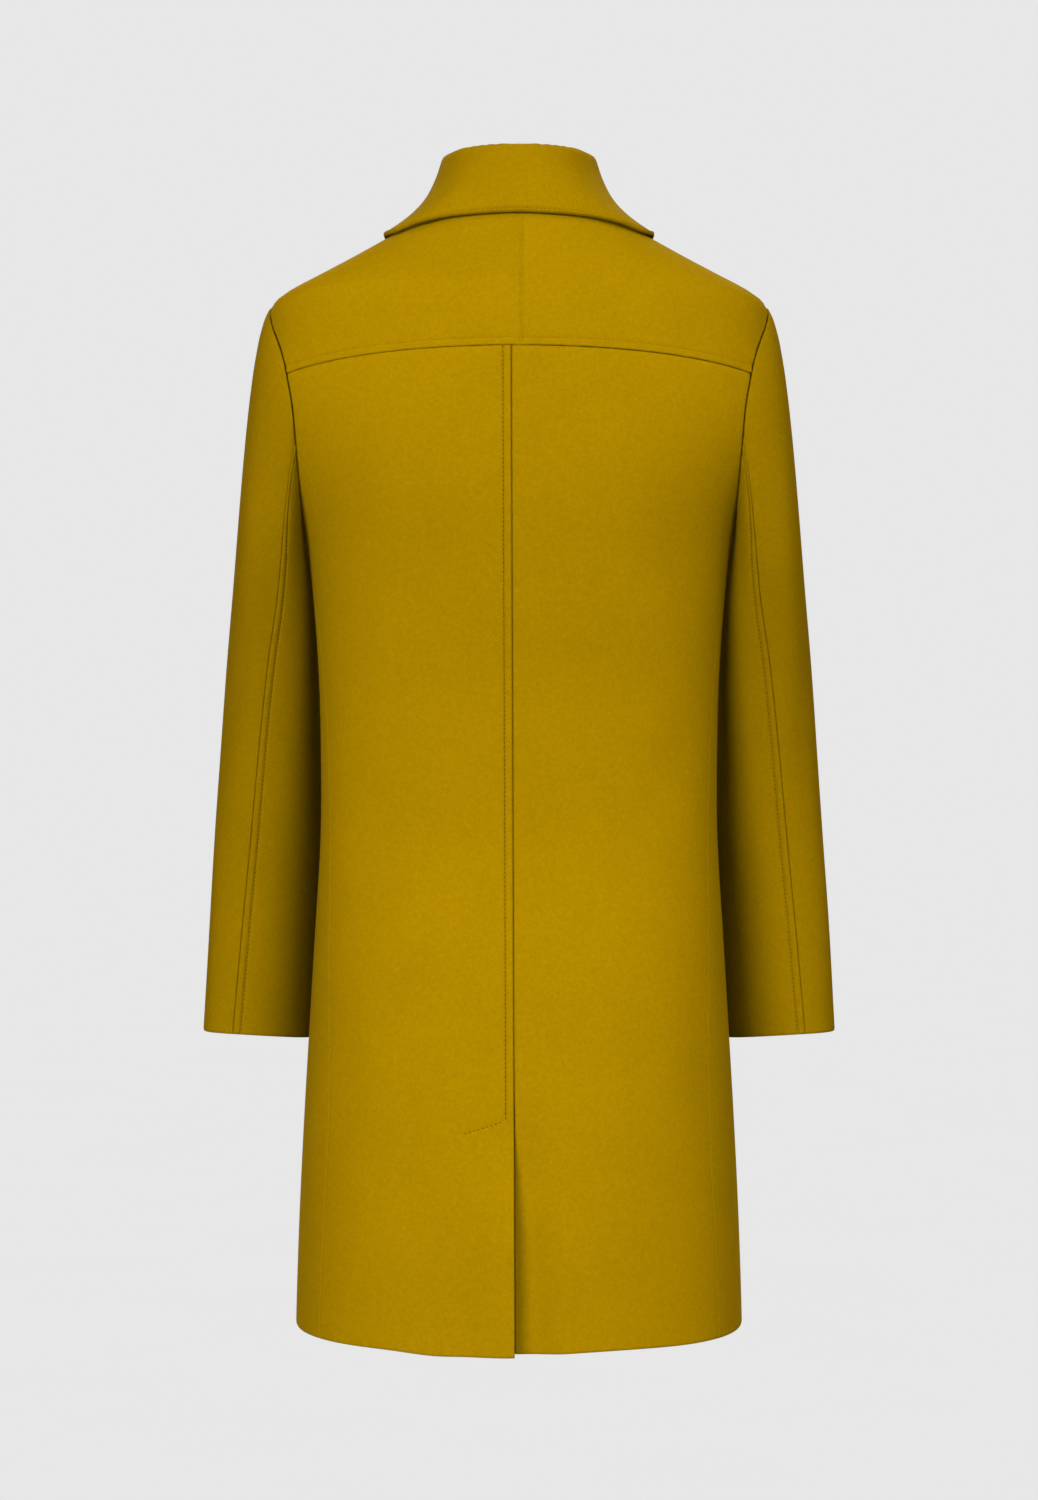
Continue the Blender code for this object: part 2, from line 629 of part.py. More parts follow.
def make_button(name, height, material):
    """Turned button with a raised rim, lying on the right front at the centre."""
    profile = (
        (0.0, 0.70),
        (0.55, 0.70),
        (0.72, 1.00),
        (0.90, 1.00),
        (1.00, 0.70),
        (0.94, 0.15),
        (0.80, 0.00),
        (0.0, 0.00),
    )
    mesh = bpy.data.meshes.new(name)
    points = [(radius * BUTTON_RADIUS, 0.0, level * BUTTON_THICKNESS) for radius, level in profile]
    mesh.from_pydata(points, [(k, k + 1) for k in range(len(points) - 1)], [])
    mesh.materials.append(material)
    button = bpy.data.objects.new(name, mesh)
    bpy.data.collections["winter_coat"].objects.link(button)
    turned = button.modifiers.new("turned", "SCREW")
    turned.steps = BUTTON_STEPS
    turned.render_steps = BUTTON_STEPS
    turned.use_merge_vertices = True
    turned.merge_threshold = 0.00005
    rows = [row_height for _, row_height in front_inner_edge()]
    below = max(row_height for row_height in rows if row_height <= height)
    above = min(row_height for row_height in rows if row_height > height)
    low, high = body_point(180.0, below), body_point(180.0, above)
    seat = blend(low, high, (height - below) / (above - below))
    rise = high - low
    button.rotation_euler = (-math.atan2(rise[2], -rise[1]), 0.0, 0.0)
    button.location = seat + unit(np.array((0.0, rise[2], -rise[1]))) * BUTTON_LIFT
    return button


def principled(name, colour, roughness):
    material = bpy.data.materials.new(name)
    material.use_nodes = True
    shader = material.node_tree.nodes["Principled BSDF"]
    shader.inputs["Base Color"].default_value = (*colour, 1.0)
    shader.inputs["Roughness"].default_value = roughness
    shader.inputs["Metallic"].default_value = 0.0
    return material


def main():
    for thing in list(bpy.data.objects):
        bpy.data.objects.remove(thing, do_unlink=True)
    coat = bpy.data.collections.new("winter_coat")
    bpy.context.scene.collection.children.link(coat)
    wool = principled("mustard_wool", WOOL_COLOUR, 0.9)
    horn = principled("button_horn", BUTTON_COLOUR, 0.4)

    make_back("back_left", -1, vent_lift, wool)
    make_back("back_right", 1, vent_sink, wool)
    make_yoke(wool)
    make_front("front_left", -1, closing_sink, wool)
    make_front("front_right", 1, None, wool)
    top_turns = CHEST_TURNS + [turn + 360 for turn in YOKE_TURNS[1:] + BLADE_TURNS[1:]]
    under_turns = UNDERARM_TURNS + FRONT_UNDERARM_TURNS[1:]
    for word, side in (("left", -1), ("right", 1)):
        make_sleeve_half(f"sleeve_{word}_top", side, top_turns, wool)
        make_sleeve_half(f"sleeve_{word}_under", side, under_turns, wool)
    make_collar(wool)
    for k, height in enumerate(BUTTON_HEIGHTS):
        make_button(f"button_{k + 1}", height, horn)


main()
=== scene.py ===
"""Looks of the mustard wool winter coat: cloth shells with rolled seams, topstitching, buttons and a studio.

The coat's back faces -Y and its front +Y. Sizes are in metres and follow those of the coat's solids.
"""
import math

import bmesh
import bpy
import numpy as np
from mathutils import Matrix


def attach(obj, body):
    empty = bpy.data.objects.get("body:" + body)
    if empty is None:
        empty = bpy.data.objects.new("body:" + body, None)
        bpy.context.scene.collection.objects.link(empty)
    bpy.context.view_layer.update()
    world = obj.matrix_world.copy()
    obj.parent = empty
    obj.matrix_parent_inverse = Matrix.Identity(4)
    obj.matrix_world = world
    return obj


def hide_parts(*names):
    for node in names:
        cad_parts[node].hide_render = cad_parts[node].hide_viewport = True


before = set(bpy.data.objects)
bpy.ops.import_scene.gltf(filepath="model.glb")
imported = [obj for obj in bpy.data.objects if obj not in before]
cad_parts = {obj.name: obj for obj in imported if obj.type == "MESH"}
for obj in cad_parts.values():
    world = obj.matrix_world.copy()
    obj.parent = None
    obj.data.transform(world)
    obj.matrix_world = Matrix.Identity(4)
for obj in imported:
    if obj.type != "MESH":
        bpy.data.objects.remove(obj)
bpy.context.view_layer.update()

# Cloth, hem and cuffs
CLOTH = 0.0025
COLLAR_CLOTH = 0.0042
HEM_HEIGHT = -0.952
CUFF_HEIGHT = -0.711

# Body: horizontal rings, each a superellipse with its own back and front depth
RING_POWER = 2.35
BODY_COLUMNS = ("height", "half_width", "back_depth", "front_depth")
BODY_ROWS = (
    (0.000, 0.0675, 0.0660, 0.0600),
    (-0.020, 0.1015, 0.0785, 0.0720),
    (-0.040, 0.1367, 0.0900, 0.0810),
    (-0.060, 0.1745, 0.0978, 0.0880),
    (-0.070, 0.1940, 0.1008, 0.0913),
    (-0.079, 0.2080, 0.1032, 0.0942),
    (-0.088, 0.2135, 0.1053, 0.0972),
    (-0.100, 0.2157, 0.1078, 0.1011),
    (-0.130, 0.2190, 0.1128, 0.1105),
    (-0.160, 0.2231, 0.1172, 0.1180),
    (-0.200, 0.2177, 0.1212, 0.1250),
    (-0.240, 0.1999, 0.1218, 0.1300),
    (-0.270, 0.1868, 0.1196, 0.1320),
    (-0.290, 0.1815, 0.1176, 0.1320),
    (-0.348, 0.1750, 0.1102, 0.1290),
    (-0.428, 0.1705, 0.1015, 0.1240),
    (-0.511, 0.1696, 0.1017, 0.1225),
    (-0.636, 0.1759, 0.1165, 0.1290),
    (-0.775, 0.1840, 0.1362, 0.1400),
    (-0.870, 0.1884, 0.1452, 0.1475),
    (-0.952, 0.1910, 0.1475, 0.1530),
)
PROFILE_STEP = 0.001
PROFILE_BELOW_HEM = 0.010
SHOULDER_BLUR = 0.003
TORSO_BLUR = 0.016
TORSO_BLUR_FROM = -0.12
TORSO_BLUR_TO = -0.19

# Neck, armhole, side seam and shoulder seam
BACK_NECK_DROP = 0.012
FRONT_NECK_DROP = 0.070
FRONT_NECK_POWER = 4.0
SHOULDER_SEAM_ANGLE = 97.0
ARMHOLE_TOP = -0.082
ARMHOLE_BOTTOM = -0.290
ARMHOLE_DEPTH = 0.0725
ARMHOLE_POWER = 1.4
YOKE_TURN = 68.8
BACK_SEAM_TURN = 101.6
SIDE_SEAM_TURN = 180.0
FRONT_SEAM_TURN = 260.0
CHEST_TURN = 228.0
SHOULDER_SEAM_TURN = 354.0
ARMHOLE_QUARTERS = (0.0, BACK_SEAM_TURN, SIDE_SEAM_TURN, FRONT_SEAM_TURN, 360.0)
SIDE_COLUMNS = ("height", "angle")
SIDE_ROWS = (
    (-0.380, 75.0),
    (-0.540, 67.0),
    (-0.700, 60.0),
    (-0.830, 57.0),
    (-0.952, 58.0),
)

# Centre back seam and vent, the left panel over the right one
YOKE_SEAM_HEIGHT = -0.131
SEAM_X_TOP = -0.0066
SEAM_X_HEM = -0.0036
SEAM_LAP = 0.0004
SEAM_TUCK = 0.0016
SEAM_TUCK_REACH = 0.0011
VENT_TOP = -0.766
UNDERLAP_TOP = -0.778
UNDERLAP_WIDTH = 0.040
VENT_SINK_COLUMNS = ("height", "sink")
VENT_SINK_ROWS = (
    (-0.690, 0.0000),
    (-0.740, 0.0012),
    (UNDERLAP_TOP, 0.0036),
    (-0.815, 0.0072),
    (-0.880, 0.0098),
    (HEM_HEIGHT, 0.0105),
)
VENT_SINK_FLAT = 0.010
VENT_SINK_REACH = 0.034
VENT_LIFT = 0.0070
VENT_LIFT_REACH = 0.050
VENT_LIFT_HEIGHT = 0.110

# Uneven back hem: side, x, reach and rise of each wave
HEM_SHIFT_ROWS = (
    (-1, -0.020, 0.045, -0.0024),
    (-1, -0.070, 0.028, -0.0022),
    (1, 0.000, 0.035, -0.0022),
    (1, 0.095, 0.045, 0.0010),
)
HEM_SHIFT_HEIGHT = 0.15

# Front closing, the right panel over the left one
OVERLAP_HALF = 0.020
OVERLAP_RECESS = 0.0040
RECESS_START = 0.046
RECESS_FULL = 0.022
NECK_START_ANGLE = 178.0

# Sleeves
SLEEVE_COLUMNS = ("height", "outer_x", "depth", "centre_y", "skew", "back_seam_turn")
SLEEVE_ROWS = (
    (-0.320, 0.2456, 0.0680, 0.018, 0.000, 107.0),
    (-0.400, 0.2549, 0.0620, 0.040, 0.005, 88.0),
    (-0.500, 0.2634, 0.0560, 0.060, 0.011, 77.0),
    (-0.600, 0.2706, 0.0500, 0.071, 0.015, 71.0),
    (CUFF_HEIGHT, 0.2776, 0.0450, 0.073, 0.015, 66.0),
)
CAP_END = -0.320
FRONT_SLEEVE_TURN = 245.0
SLEEVE_CLEARANCE = 0.0008
CUFF_RISE = 0.0012
CUFF_SLANT = 0.0085
CAP_END_STEP = 0.01
CAP_COLUMNS = ("share", "out", "back", "down", "start_length", "end_length")
CAP_ROWS = (
    (0.0, 0.720, 0.00, 0.69, 0.055, 0.300),
    (0.5, 0.620, 0.20, 0.75, 0.080, 0.220),
    (1.0, 0.220, 0.05, 0.97, 0.110, 0.115),
    (1.5, 0.040, 0.05, 0.99, 0.055, 0.055),
    (2.0, -0.110, 0.00, 1.00, 0.030, 0.030),
)

# How square the sleeve is by height, where 2 is an ellipse
SLEEVE_POWER_ROWS = ((-0.460, 2.0), (-0.400, 2.2), (-0.320, 2.7))

# Gap between sleeve and body by share of the way round, below 0 where the sleeve laps the front
ARMHOLE_GAP_ROWS = ((0.0, 0.0009), (2.0, 0.0009), (2.3, -0.0003), (3.8, -0.0003), (4.0, 0.0009))

# Collar: a fold ring above the neck seam and an outer edge that rests on the body
FOLD_HALF_WIDTH = 0.0632
FOLD_CENTRE_Y = 0.026
FOLD_BACK = 0.084
FOLD_FRONT = 0.059
FOLD_HEIGHT = 0.0409
FOLD_CROWN = 0.0030
FOLD_FALL = 0.091
FOLD_FALL_START = 80.0
FOLD_FALL_POWER = 2.5
FOLD_LEAD = 18.0
FOLD_RADIUS = 0.003
FALL_FLARE = 0.26
FALL_ROLL = 0.30
FALL_REST = 0.36
NECK_SEAM_GAP = 0.0008
COLLAR_EDGE_COLUMNS = ("neck_angle", "body_angle", "body_height", "clearance")
COLLAR_EDGE_ROWS = (
    (0.0, 0.0, -0.0170, 0.0005),
    (30.0, 30.0, -0.0210, 0.0022),
    (45.0, 45.0, -0.0260, 0.0034),
    (60.0, 60.0, -0.0302, 0.0014),
    (90.0, 90.0, -0.0270, 0.0006),
    (120.0, 113.0, -0.0350, 0.0012),
    (135.0, 134.0, -0.0500, 0.0018),
    (150.0, 150.0, -0.0720, 0.0020),
    (165.0, 160.0, -0.1010, 0.0020),
    (178.0, 166.0, -0.1350, 0.0014),
)

# Fineness and rows of the panels' grids
EDGE_SPACING = 0.00016
STITCH_SPACING = 0.0004
CLOTH_SPACING = 0.0042
SPACING_GROWTH = 0.36
WALK_STEP = 0.0001
MOST_KEPT = 0.45
BODY_EDGE_KEPT = 0.020
SLEEVE_EDGE_KEPT = 0.016
COLLAR_EDGE_KEPT = 0.018
INNER_SAMPLES = 400
SIDE_SAMPLES = 300
CURVE_SAMPLES = 200
WIDTH_SAMPLES = 100
ROW_BOW = 1.6
ROW_SAMPLES = 120
LEVEL_ROW = -0.33
LEVEL_ROW_STRETCH = 1.01
YOKE_LEVEL_BAND = 0.014
ARM_SAMPLES = 160
CAP_SAMPLES = 120
ROUND_SAMPLES = 90
COLLAR_SAMPLES = 721
STAND_STEPS = 40
BEND_STEPS = 20
FALL_STEPS = 60

# Seams, hems and topstitching
SEAM_RIM = 0.0010
SEAM_STEP = 0.0007
SEAM_STEP_REACH = 0.004
HEM_RIM = 0.0026
HEM_TURNING = 0.040
HEM_TURNING_END = 0.004
HEM_EXTRA = 0.0012
STITCH_INSET = 0.0068
COLLAR_INSET = 0.0038
STITCH_PITCH = 0.0037
STITCH_LENGTH = 0.0031
CLOSE_STITCH_LENGTH = 0.0036
DOT_STITCH_LENGTH = 0.0023
STITCH_RADIUS = 0.00036
STITCH_SIDES = 6
STITCH_TRIM = 6
YOKE_STITCH_TRIM = 8
TROUGH_WIDTH = 0.0012
TROUGH_DEPTH = 0.0007
CENTRE_TROUGH_WIDTH = 0.0006
CENTRE_TROUGH_DEPTH = 0.0008
CENTRE_STITCH_FADE = 0.004
VENT_TROUGH_DEPTH = 0.8 * TROUGH_DEPTH
VENT_SEAM_FADE = 0.02
SLEEVE_TROUGH_DEPTH = 0.0010
COLLAR_TROUGH_DEPTH = 0.0015
COLLAR_FOLD_FADE = 0.02
COLLAR_STITCHED_FROM = 0.9
YOKE_SHARE = 0.45
BAND_RISE = 0.0006
BAND_START = 0.0015
BAND_LEAD = 0.002
BAND_END = 0.0025
PUCKER = 0.00016
PUCKER_REACH = 0.006
PUCKER_WAVES = ((0.0113, 0.4), (0.0187, 2.1), (0.0310, 4.4))
VENT_STITCH_START = (-0.0126, -0.7657)
VENT_STITCH_END = (-0.0454, -0.7761)
VENT_STITCH_SHARE = 0.03
VENT_STITCH_SAMPLES = 40

# A stitch from end to end: its thickness and height in radii of its thread
STITCH_PROFILE = ((0.45, -1.1), (0.9, 0.1), (1.0, 0.4), (0.9, 0.1), (0.45, -1.1))

# Soft creases of the body: face, x, height, lean, half length, half width and rise, below 0 for a trough
FOLD_ROWS = (
    (-1, -0.017, -0.712, 3.0, 0.058, 0.014, -0.0024),
    (-1, -0.075, -0.690, -8.0, 0.120, 0.034, 0.0016),
    (-1, 0.070, -0.720, 5.0, 0.130, 0.040, 0.0018),
    (-1, -0.152, -0.742, 4.0, 0.060, 0.022, -0.0024),
    (-1, 0.156, -0.735, -6.0, 0.075, 0.020, -0.0022),
    (-1, 0.132, -0.470, 24.0, 0.070, 0.020, -0.0014),
    (-1, -0.128, -0.500, -20.0, 0.060, 0.022, -0.0012),
    (-1, -0.095, -0.220, 0.0, 0.080, 0.050, 0.0014),
    (-1, 0.092, -0.230, 0.0, 0.085, 0.048, 0.0014),
    (1, -0.090, -0.700, 7.0, 0.140, 0.036, 0.0018),
    (1, 0.085, -0.730, -5.0, 0.120, 0.040, 0.0018),
    (1, -0.140, -0.450, -26.0, 0.065, 0.018, -0.0014),
    (1, 0.136, -0.480, 22.0, 0.070, 0.020, -0.0015),
    (1, 0.105, -0.255, -38.0, 0.060, 0.016, -0.0014),
    (1, -0.112, -0.262, 34.0, 0.055, 0.015, -0.0013),
)
FACE_REACH = 0.05

# Soft creases of the sleeves: side, share of the way round, height, lean, half length, half width, rise
SLEEVE_FOLD_ROWS = (
    (-1, 0.55, -0.420, 12.0, 0.060, 0.018, -0.0014),
    (-1, 3.30, -0.400, 55.0, 0.045, 0.012, -0.0018),
    (-1, 3.35, -0.455, 62.0, 0.035, 0.010, -0.0015),
    (-1, 0.30, -0.560, -6.0, 0.090, 0.022, 0.0012),
    (1, 0.60, -0.450, -10.0, 0.065, 0.018, -0.0013),
    (1, 3.28, -0.385, -58.0, 0.042, 0.012, -0.0017),
    (1, 3.36, -0.430, -50.0, 0.038, 0.011, -0.0015),
    (1, 0.28, -0.600, 8.0, 0.080, 0.022, 0.0012),
)
SLEEVE_SHARE_WIDTH = 0.105

# Buttons and buttonholes down the centre front
BUTTON_HEIGHTS = (-0.115, -0.235, -0.355, -0.475)
BUTTON_RADIUS = 0.014
BUTTON_THICKNESS = 0.0045
BUTTON_LIFT = 0.0006
BUTTON_STEPS = 64
BUTTON_WELL = 0.62
BUTTON_SHARP_ANGLE = 35.0
BUTTON_MERGE = 0.00001
BUTTON_THREAD = 0.00055
HOLE_RADIUS = 0.0011
HOLE_SPREAD = 0.0026
HOLE_STEPS = 20
BUTTONHOLE_START = -0.003
BUTTONHOLE_END = 0.029
BUTTONHOLE_HALF = 0.0013
BUTTONHOLE_THREAD = 0.0006
BUTTONHOLE_SINK = 0.0001
BUTTONHOLE_SLIT_DEPTH = 0.0006
BUTTONHOLE_SLIT_WIDTH = 0.0016
BUTTONHOLE_END_POINTS = 9
BUTTONHOLE_SIDE_POINTS = 14

# Half section of a button: shares of its radius and of its thickness, from the well round the rim
BUTTON_PROFILE = (
    (0.0, BUTTON_WELL), (0.30, 0.60), (0.50, 0.62), (0.62, 0.74), (0.70, 0.92), (0.78, 1.00), (0.88, 1.00),
    (0.95, 0.93), (0.99, 0.78), (1.00, 0.60), (0.97, 0.34), (0.90, 0.12), (0.78, 0.0), (0.0, 0.0),
)

# Thread between two holes of a button: share of the way from the middle, and height over the well
THREAD_BAR = ((-1.0, -0.0012), (-0.6, 0.0004), (0.0, 0.0005), (0.6, 0.0004), (1.0, -0.0012))

# Colours, and how light falls in the studio
WOOL_COLOUR = (0.470, 0.264, 0.0003)
# Painted shade: the sleeves and collar are the body's wool, made darker by these factors to stand in for the
# light they catch less of
SLEEVE_PAINTED_SHADE = 0.80
COLLAR_PAINTED_SHADE = 0.92
# Painted shade: the first thread colour is partly the thread's own tone and partly darkened to stand in for
# the shade of the groove it lies in; the second is darker still, painted groove shade for stitch rows that
# show as dark lines
THREAD_COLOUR_WITH_PAINTED_SHADE = (0.290, 0.150, 0.0010)
PAINTED_GROOVE_SHADE_THREAD_COLOUR = (0.130, 0.062, 0.0010)
PALE_THREAD_COLOUR = (0.420, 0.233, 0.0006)
HORN_COLOUR = (0.060, 0.032, 0.014)
HORN_STREAK = (0.130, 0.070, 0.028)
BACKDROP_COLOUR = (0.799, 0.799, 0.799)
AMBIENT = 0.02
FLOOR_HEIGHT = -1.40
FLOOR_RADIUS = 40.0
FLOOR_STEPS = 96

# Lights: name, strength, azimuth, elevation and width across, in degrees
STUDIO_LIGHTS = (
    ("key", 1.90, -29.0, 12.0, 30.0),
    ("fill", 1.10, 28.0, 6.0, 30.0),
    ("top", 0.86, 40.0, 62.0, 30.0),
    ("side_left", 0.20, -72.0, 6.0, 26.0),
    ("side_right", 0.26, 72.0, 24.0, 26.0),
    ("far_key", 1.60, 165.0, 35.0, 24.0),
    ("far_fill", 1.00, 198.0, 20.0, 24.0),
)

# Camera: level with the coat's middle, framing 1038 by 1500 pixels
CAMERA_PLACE = (0.0, -2.45, -0.4635)
FOCAL_PIXELS = 2849.0
FRAME_HEIGHT_PIXELS = 1500.0
SENSOR = 36.0


# Small helpers

def column(rows, names, name):
    """One named column of a table, as an array."""
    return np.array([row[names.index(name)] for row in rows], float)


def smooth_curve(knots, values, at, flat_ends=False):
    """Smooth curve through the knots that never overshoots them, at an array of places."""
    order = np.argsort(knots)
    knots = np.asarray(knots, float)[order]
    values = np.asarray(values, float)[order]
    steps = np.diff(knots)
    slopes = np.diff(values) / steps
    tangents = np.zeros(len(knots))
    product = slopes[:-1] * slopes[1:]
    total = np.where(product > 0, slopes[:-1] + slopes[1:], 1.0)
    tangents[1:-1] = np.where(product > 0, 2 * product / total, 0.0)
    if not flat_ends:
        tangents[0] = slopes[0]
        tangents[-1] = slopes[-1]
    at = np.clip(at, knots[0], knots[-1])
    k = np.clip(np.searchsorted(knots, at) - 1, 0, len(steps) - 1)
    t = (at - knots[k]) / steps[k]
    return (values[k] * (1 + 2 * t) * (1 - t) ** 2 + values[k + 1] * t * t * (3 - 2 * t)
            + steps[k] * (tangents[k] * t * (1 - t) ** 2 - tangents[k + 1] * t * t * (1 - t)))


def look_up(rows, names, key, name, at, flat_ends=False):
    """Smooth value of one column of a table where its key column equals `at`."""
    return smooth_curve(column(rows, names, key), column(rows, names, name), at, flat_ends)


def straight(rows, at):
    """Value of a table of two columns, straight between its rows."""
    return np.interp(at, *zip(*rows))


def unit(vectors):
    return vectors / np.linalg.norm(vectors, axis=-1, keepdims=True)


def blend(start, end, amount):
    return start + (end - start) * amount


def soft_step(amount):
    """Eases from 0 to 1 as `amount` goes from 0 to 1."""
    amount = np.clip(amount, 0.0, 1.0)
    return amount * amount * (3 - 2 * amount)


def blurred(values, spread):
    """Values spaced by PROFILE_STEP, each averaged with its neighbours within about `spread`."""
    reach = int(3 * spread / PROFILE_STEP)
    weights = np.exp(-0.5 * (np.arange(-reach, reach + 1) * PROFILE_STEP / spread) ** 2)
    longer = np.pad(values, reach, mode="reflect", reflect_type="odd")
    return np.convolve(longer, weights / weights.sum(), mode="valid")


def walked(points):
    """Distance walked along lines of points whose last but one axis is the way along."""
    steps = np.linalg.norm(np.diff(points, axis=-2), axis=-1)
    start = np.zeros(steps.shape[:-1] + (1,))
    return np.concatenate([start, np.cumsum(steps, axis=-1)], axis=-1)


def graded(length, stitched=(), edges=(0, 1), fine_stretches=()):
    """Places from 0 to length, closer at edges, at stitches and on fine stretches (start, end, spacing)."""
    stretches = [(edge * length, edge * length, EDGE_SPACING) for edge in edges]
    stretches += [(place, place, STITCH_SPACING) for place in stitched]
    walk = np.linspace(0, length, int(length / WALK_STEP) + 1)
    spacing = np.full(walk.shape, CLOTH_SPACING)
    for start, end, fine in (*stretches, *fine_stretches):
        away = np.maximum(np.maximum(start - walk, walk - end), 0)
        spacing = np.minimum(spacing, fine + SPACING_GROWTH * away)
    counted = np.concatenate([[0], np.cumsum(np.diff(walk) / spacing[:-1])])
    steps = math.ceil(counted[-1])
    return np.interp(np.linspace(0, counted[-1], steps + 1), counted, walk)


def refitted(places, length, near):
    """Places of a graded line moved to a line of another length, kept as they are near both ends."""
    whole = places[-1]
    near = min(near, MOST_KEPT * length, MOST_KEPT * whole)
    return np.interp(places, [0, near, whole - near, whole], [0, near, length - near, length])


# Body surface

def body_profile():
    """Heights and ring sizes of the body, smoothed so that no row of the table shows as a band."""
    heights = np.arange(HEM_HEIGHT - PROFILE_BELOW_HEM, PROFILE_STEP / 2, PROFILE_STEP)
    broad = soft_step((TORSO_BLUR_FROM - heights) / (TORSO_BLUR_FROM - TORSO_BLUR_TO))
    sizes = []
    for name in BODY_COLUMNS[1:]:
        values = look_up(BODY_ROWS, BODY_COLUMNS, "height", name, heights)
        sizes.append(blend(blurred(values, SHOULDER_BLUR), blurred(values, TORSO_BLUR), broad))
    return heights, sizes


PROFILE_HEIGHTS, PROFILE_SIZES = body_profile()


def ring(height):
    """Half width, back depth and front depth of the body at a height."""
    return [np.interp(height, PROFILE_HEIGHTS, sizes) for sizes in PROFILE_SIZES]


def body_point(angle, height):
    """Outer face of the body cloth: angle 0 is centre back, 90 the right side, 180 centre front."""
    half_width, back, front = ring(height)
    sine, cosine = np.sin(np.radians(angle)), np.cos(np.radians(angle))
    power = 2 / RING_POWER
    depth = np.where(cosine > 0, back, front)
    x = half_width * np.sign(sine) * np.abs(sine) ** power
    y = -depth * np.sign(cosine) * np.abs(cosine) ** power
    return np.stack(np.broadcast_arrays(x, y, height), axis=-1)


def body_normal(angle, height):
    """Outward direction of the body surface, from the gradient of its ring equation."""
    point = body_point(angle, height)
    x, y = point[..., 0], point[..., 1]
    step = 2 * PROFILE_STEP
    here, above, below = ring(height), ring(height + step), ring(height - step)
    slopes = [(up - down) / (2 * step) for up, down in zip(above, below)]
    half_width, width_slope = here[0], slopes[0]
    depth = np.where(y < 0, here[1], here[2])
    depth_slope = np.where(y < 0, slopes[1], slopes[2])
    across, along = np.abs(x) / half_width, np.abs(y) / depth
    sideways = np.sign(x) * across ** (RING_POWER - 1) / half_width
    backwards = np.sign(y) * along ** (RING_POWER - 1) / depth
    upwards = -(across ** RING_POWER * width_slope / half_width + along ** RING_POWER * depth_slope / depth)
    return unit(np.stack([sideways, backwards, upwards], axis=-1))


def angle_at_x(x, height):
    """Angle on the back of the body, from centre back, where the surface has this x."""
    share = np.clip(np.abs(x) / ring(height)[0], 0, 1) ** (RING_POWER / 2)
    return np.sign(x) * np.degrees(np.arcsin(share))


def angle_at_y(y, height):
    """Angle on the right side of the body where the surface has this y."""
    _, back, front = ring(height)
    share = np.clip(np.abs(y) / np.where(y < 0, back, front), 0, 1) ** (RING_POWER / 2)
    return 90 + np.sign(y) * np.degrees(np.arcsin(share))


def armhole(turn):
    """Angle and height on the right side of the body of points of the armhole loop."""
    middle = (ARMHOLE_TOP + ARMHOLE_BOTTOM) / 2
    height = middle + (ARMHOLE_TOP - ARMHOLE_BOTTOM) / 2 * np.cos(np.radians(turn))
    sine = np.sin(np.radians(turn))
    return angle_at_y(-np.sign(sine) * ARMHOLE_DEPTH * np.abs(sine) ** ARMHOLE_POWER, height), height


def neck_height(angle):
    """Height of the neck seam on the body."""
    angle = np.abs(angle)
    back = -BACK_NECK_DROP * np.cos(np.radians(np.minimum(angle, 90))) ** 2
    past = np.clip((np.minimum(angle, 360 - angle) - 90) / 90, 0, 1)
    return np.where(angle < 90, back, -FRONT_NECK_DROP * past ** FRONT_NECK_POWER)


def side_seam(height):
    """Angle of the right side seam."""
    joint_angle, joint_height = armhole(SIDE_SEAM_TURN)
    knots = [joint_height] + list(column(SIDE_ROWS, SIDE_COLUMNS, "height"))
    angles = [joint_angle] + list(column(SIDE_ROWS, SIDE_COLUMNS, "angle"))
    return smooth_curve(knots, angles, height)


def shoulder_seam(share):
    """Angle and height on the right shoulder seam, from the neck (0) to the armhole (1)."""
    tip_angle, tip_height = armhole(SHOULDER_SEAM_TURN)
    return (blend(SHOULDER_SEAM_ANGLE, tip_angle, share),
            blend(neck_height(SHOULDER_SEAM_ANGLE), tip_height, share))


def seam_x(height):
    """Sideways place of the centre back seam, which leans a little."""
    share = (height - HEM_HEIGHT) / (YOKE_SEAM_HEIGHT - HEM_HEIGHT)
    return blend(SEAM_X_HEM, SEAM_X_TOP, share)


def back_right_sink(x, height):
    """How far the right back panel lies under the left one, along the centre seam and more near the vent."""
    depth = look_up(VENT_SINK_ROWS, VENT_SINK_COLUMNS, "height", "sink", height)
    past_seam = x - seam_x(height)
    return (depth * (1 - soft_step((past_seam - VENT_SINK_FLAT) / VENT_SINK_REACH))
            + SEAM_TUCK * (1 - soft_step(past_seam / SEAM_TUCK_REACH)))


def vent_lift(x, height):
    """Sink of the left back panel, negative because its vent edge lifts towards the hem."""
    down = soft_step((VENT_TOP - height) / VENT_LIFT_HEIGHT)
    return -VENT_LIFT * down * (1 - soft_step((seam_x(height) - x) / VENT_LIFT_REACH))


def closing_sink(x, height):
    """How far the left front lies under the right one near the centre front."""
    return OVERLAP_RECESS * soft_step((x + RECESS_START) / (RECESS_START - RECESS_FULL)) + 0 * height


def no_sink(x, height):
    """Sink of a panel that lies on top everywhere."""
    return 0 * x + 0 * height


def crease(away_sideways, away_up, lean, half_length, half_width, rise):
    """A soft trough or ridge that leans, and fades out along and across."""
    sine, cosine = math.sin(math.radians(lean)), math.cos(math.radians(lean))
    across, along = away_sideways * cosine - away_up * sine, away_sideways * sine + away_up * cosine
    return rise * np.exp(-(across / half_width) ** 2 - (along / half_length) ** 2)


def drape(points):
    """How far the soft creases move the body cloth out at these points."""
    x, y, height = np.moveaxis(points, -1, 0)
    return sum(soft_step(face * y / FACE_REACH) * crease(x - fold_x, height - fold_height, *shape)
               for face, fold_x, fold_height, *shape in FOLD_ROWS)


# Grids of the body panels

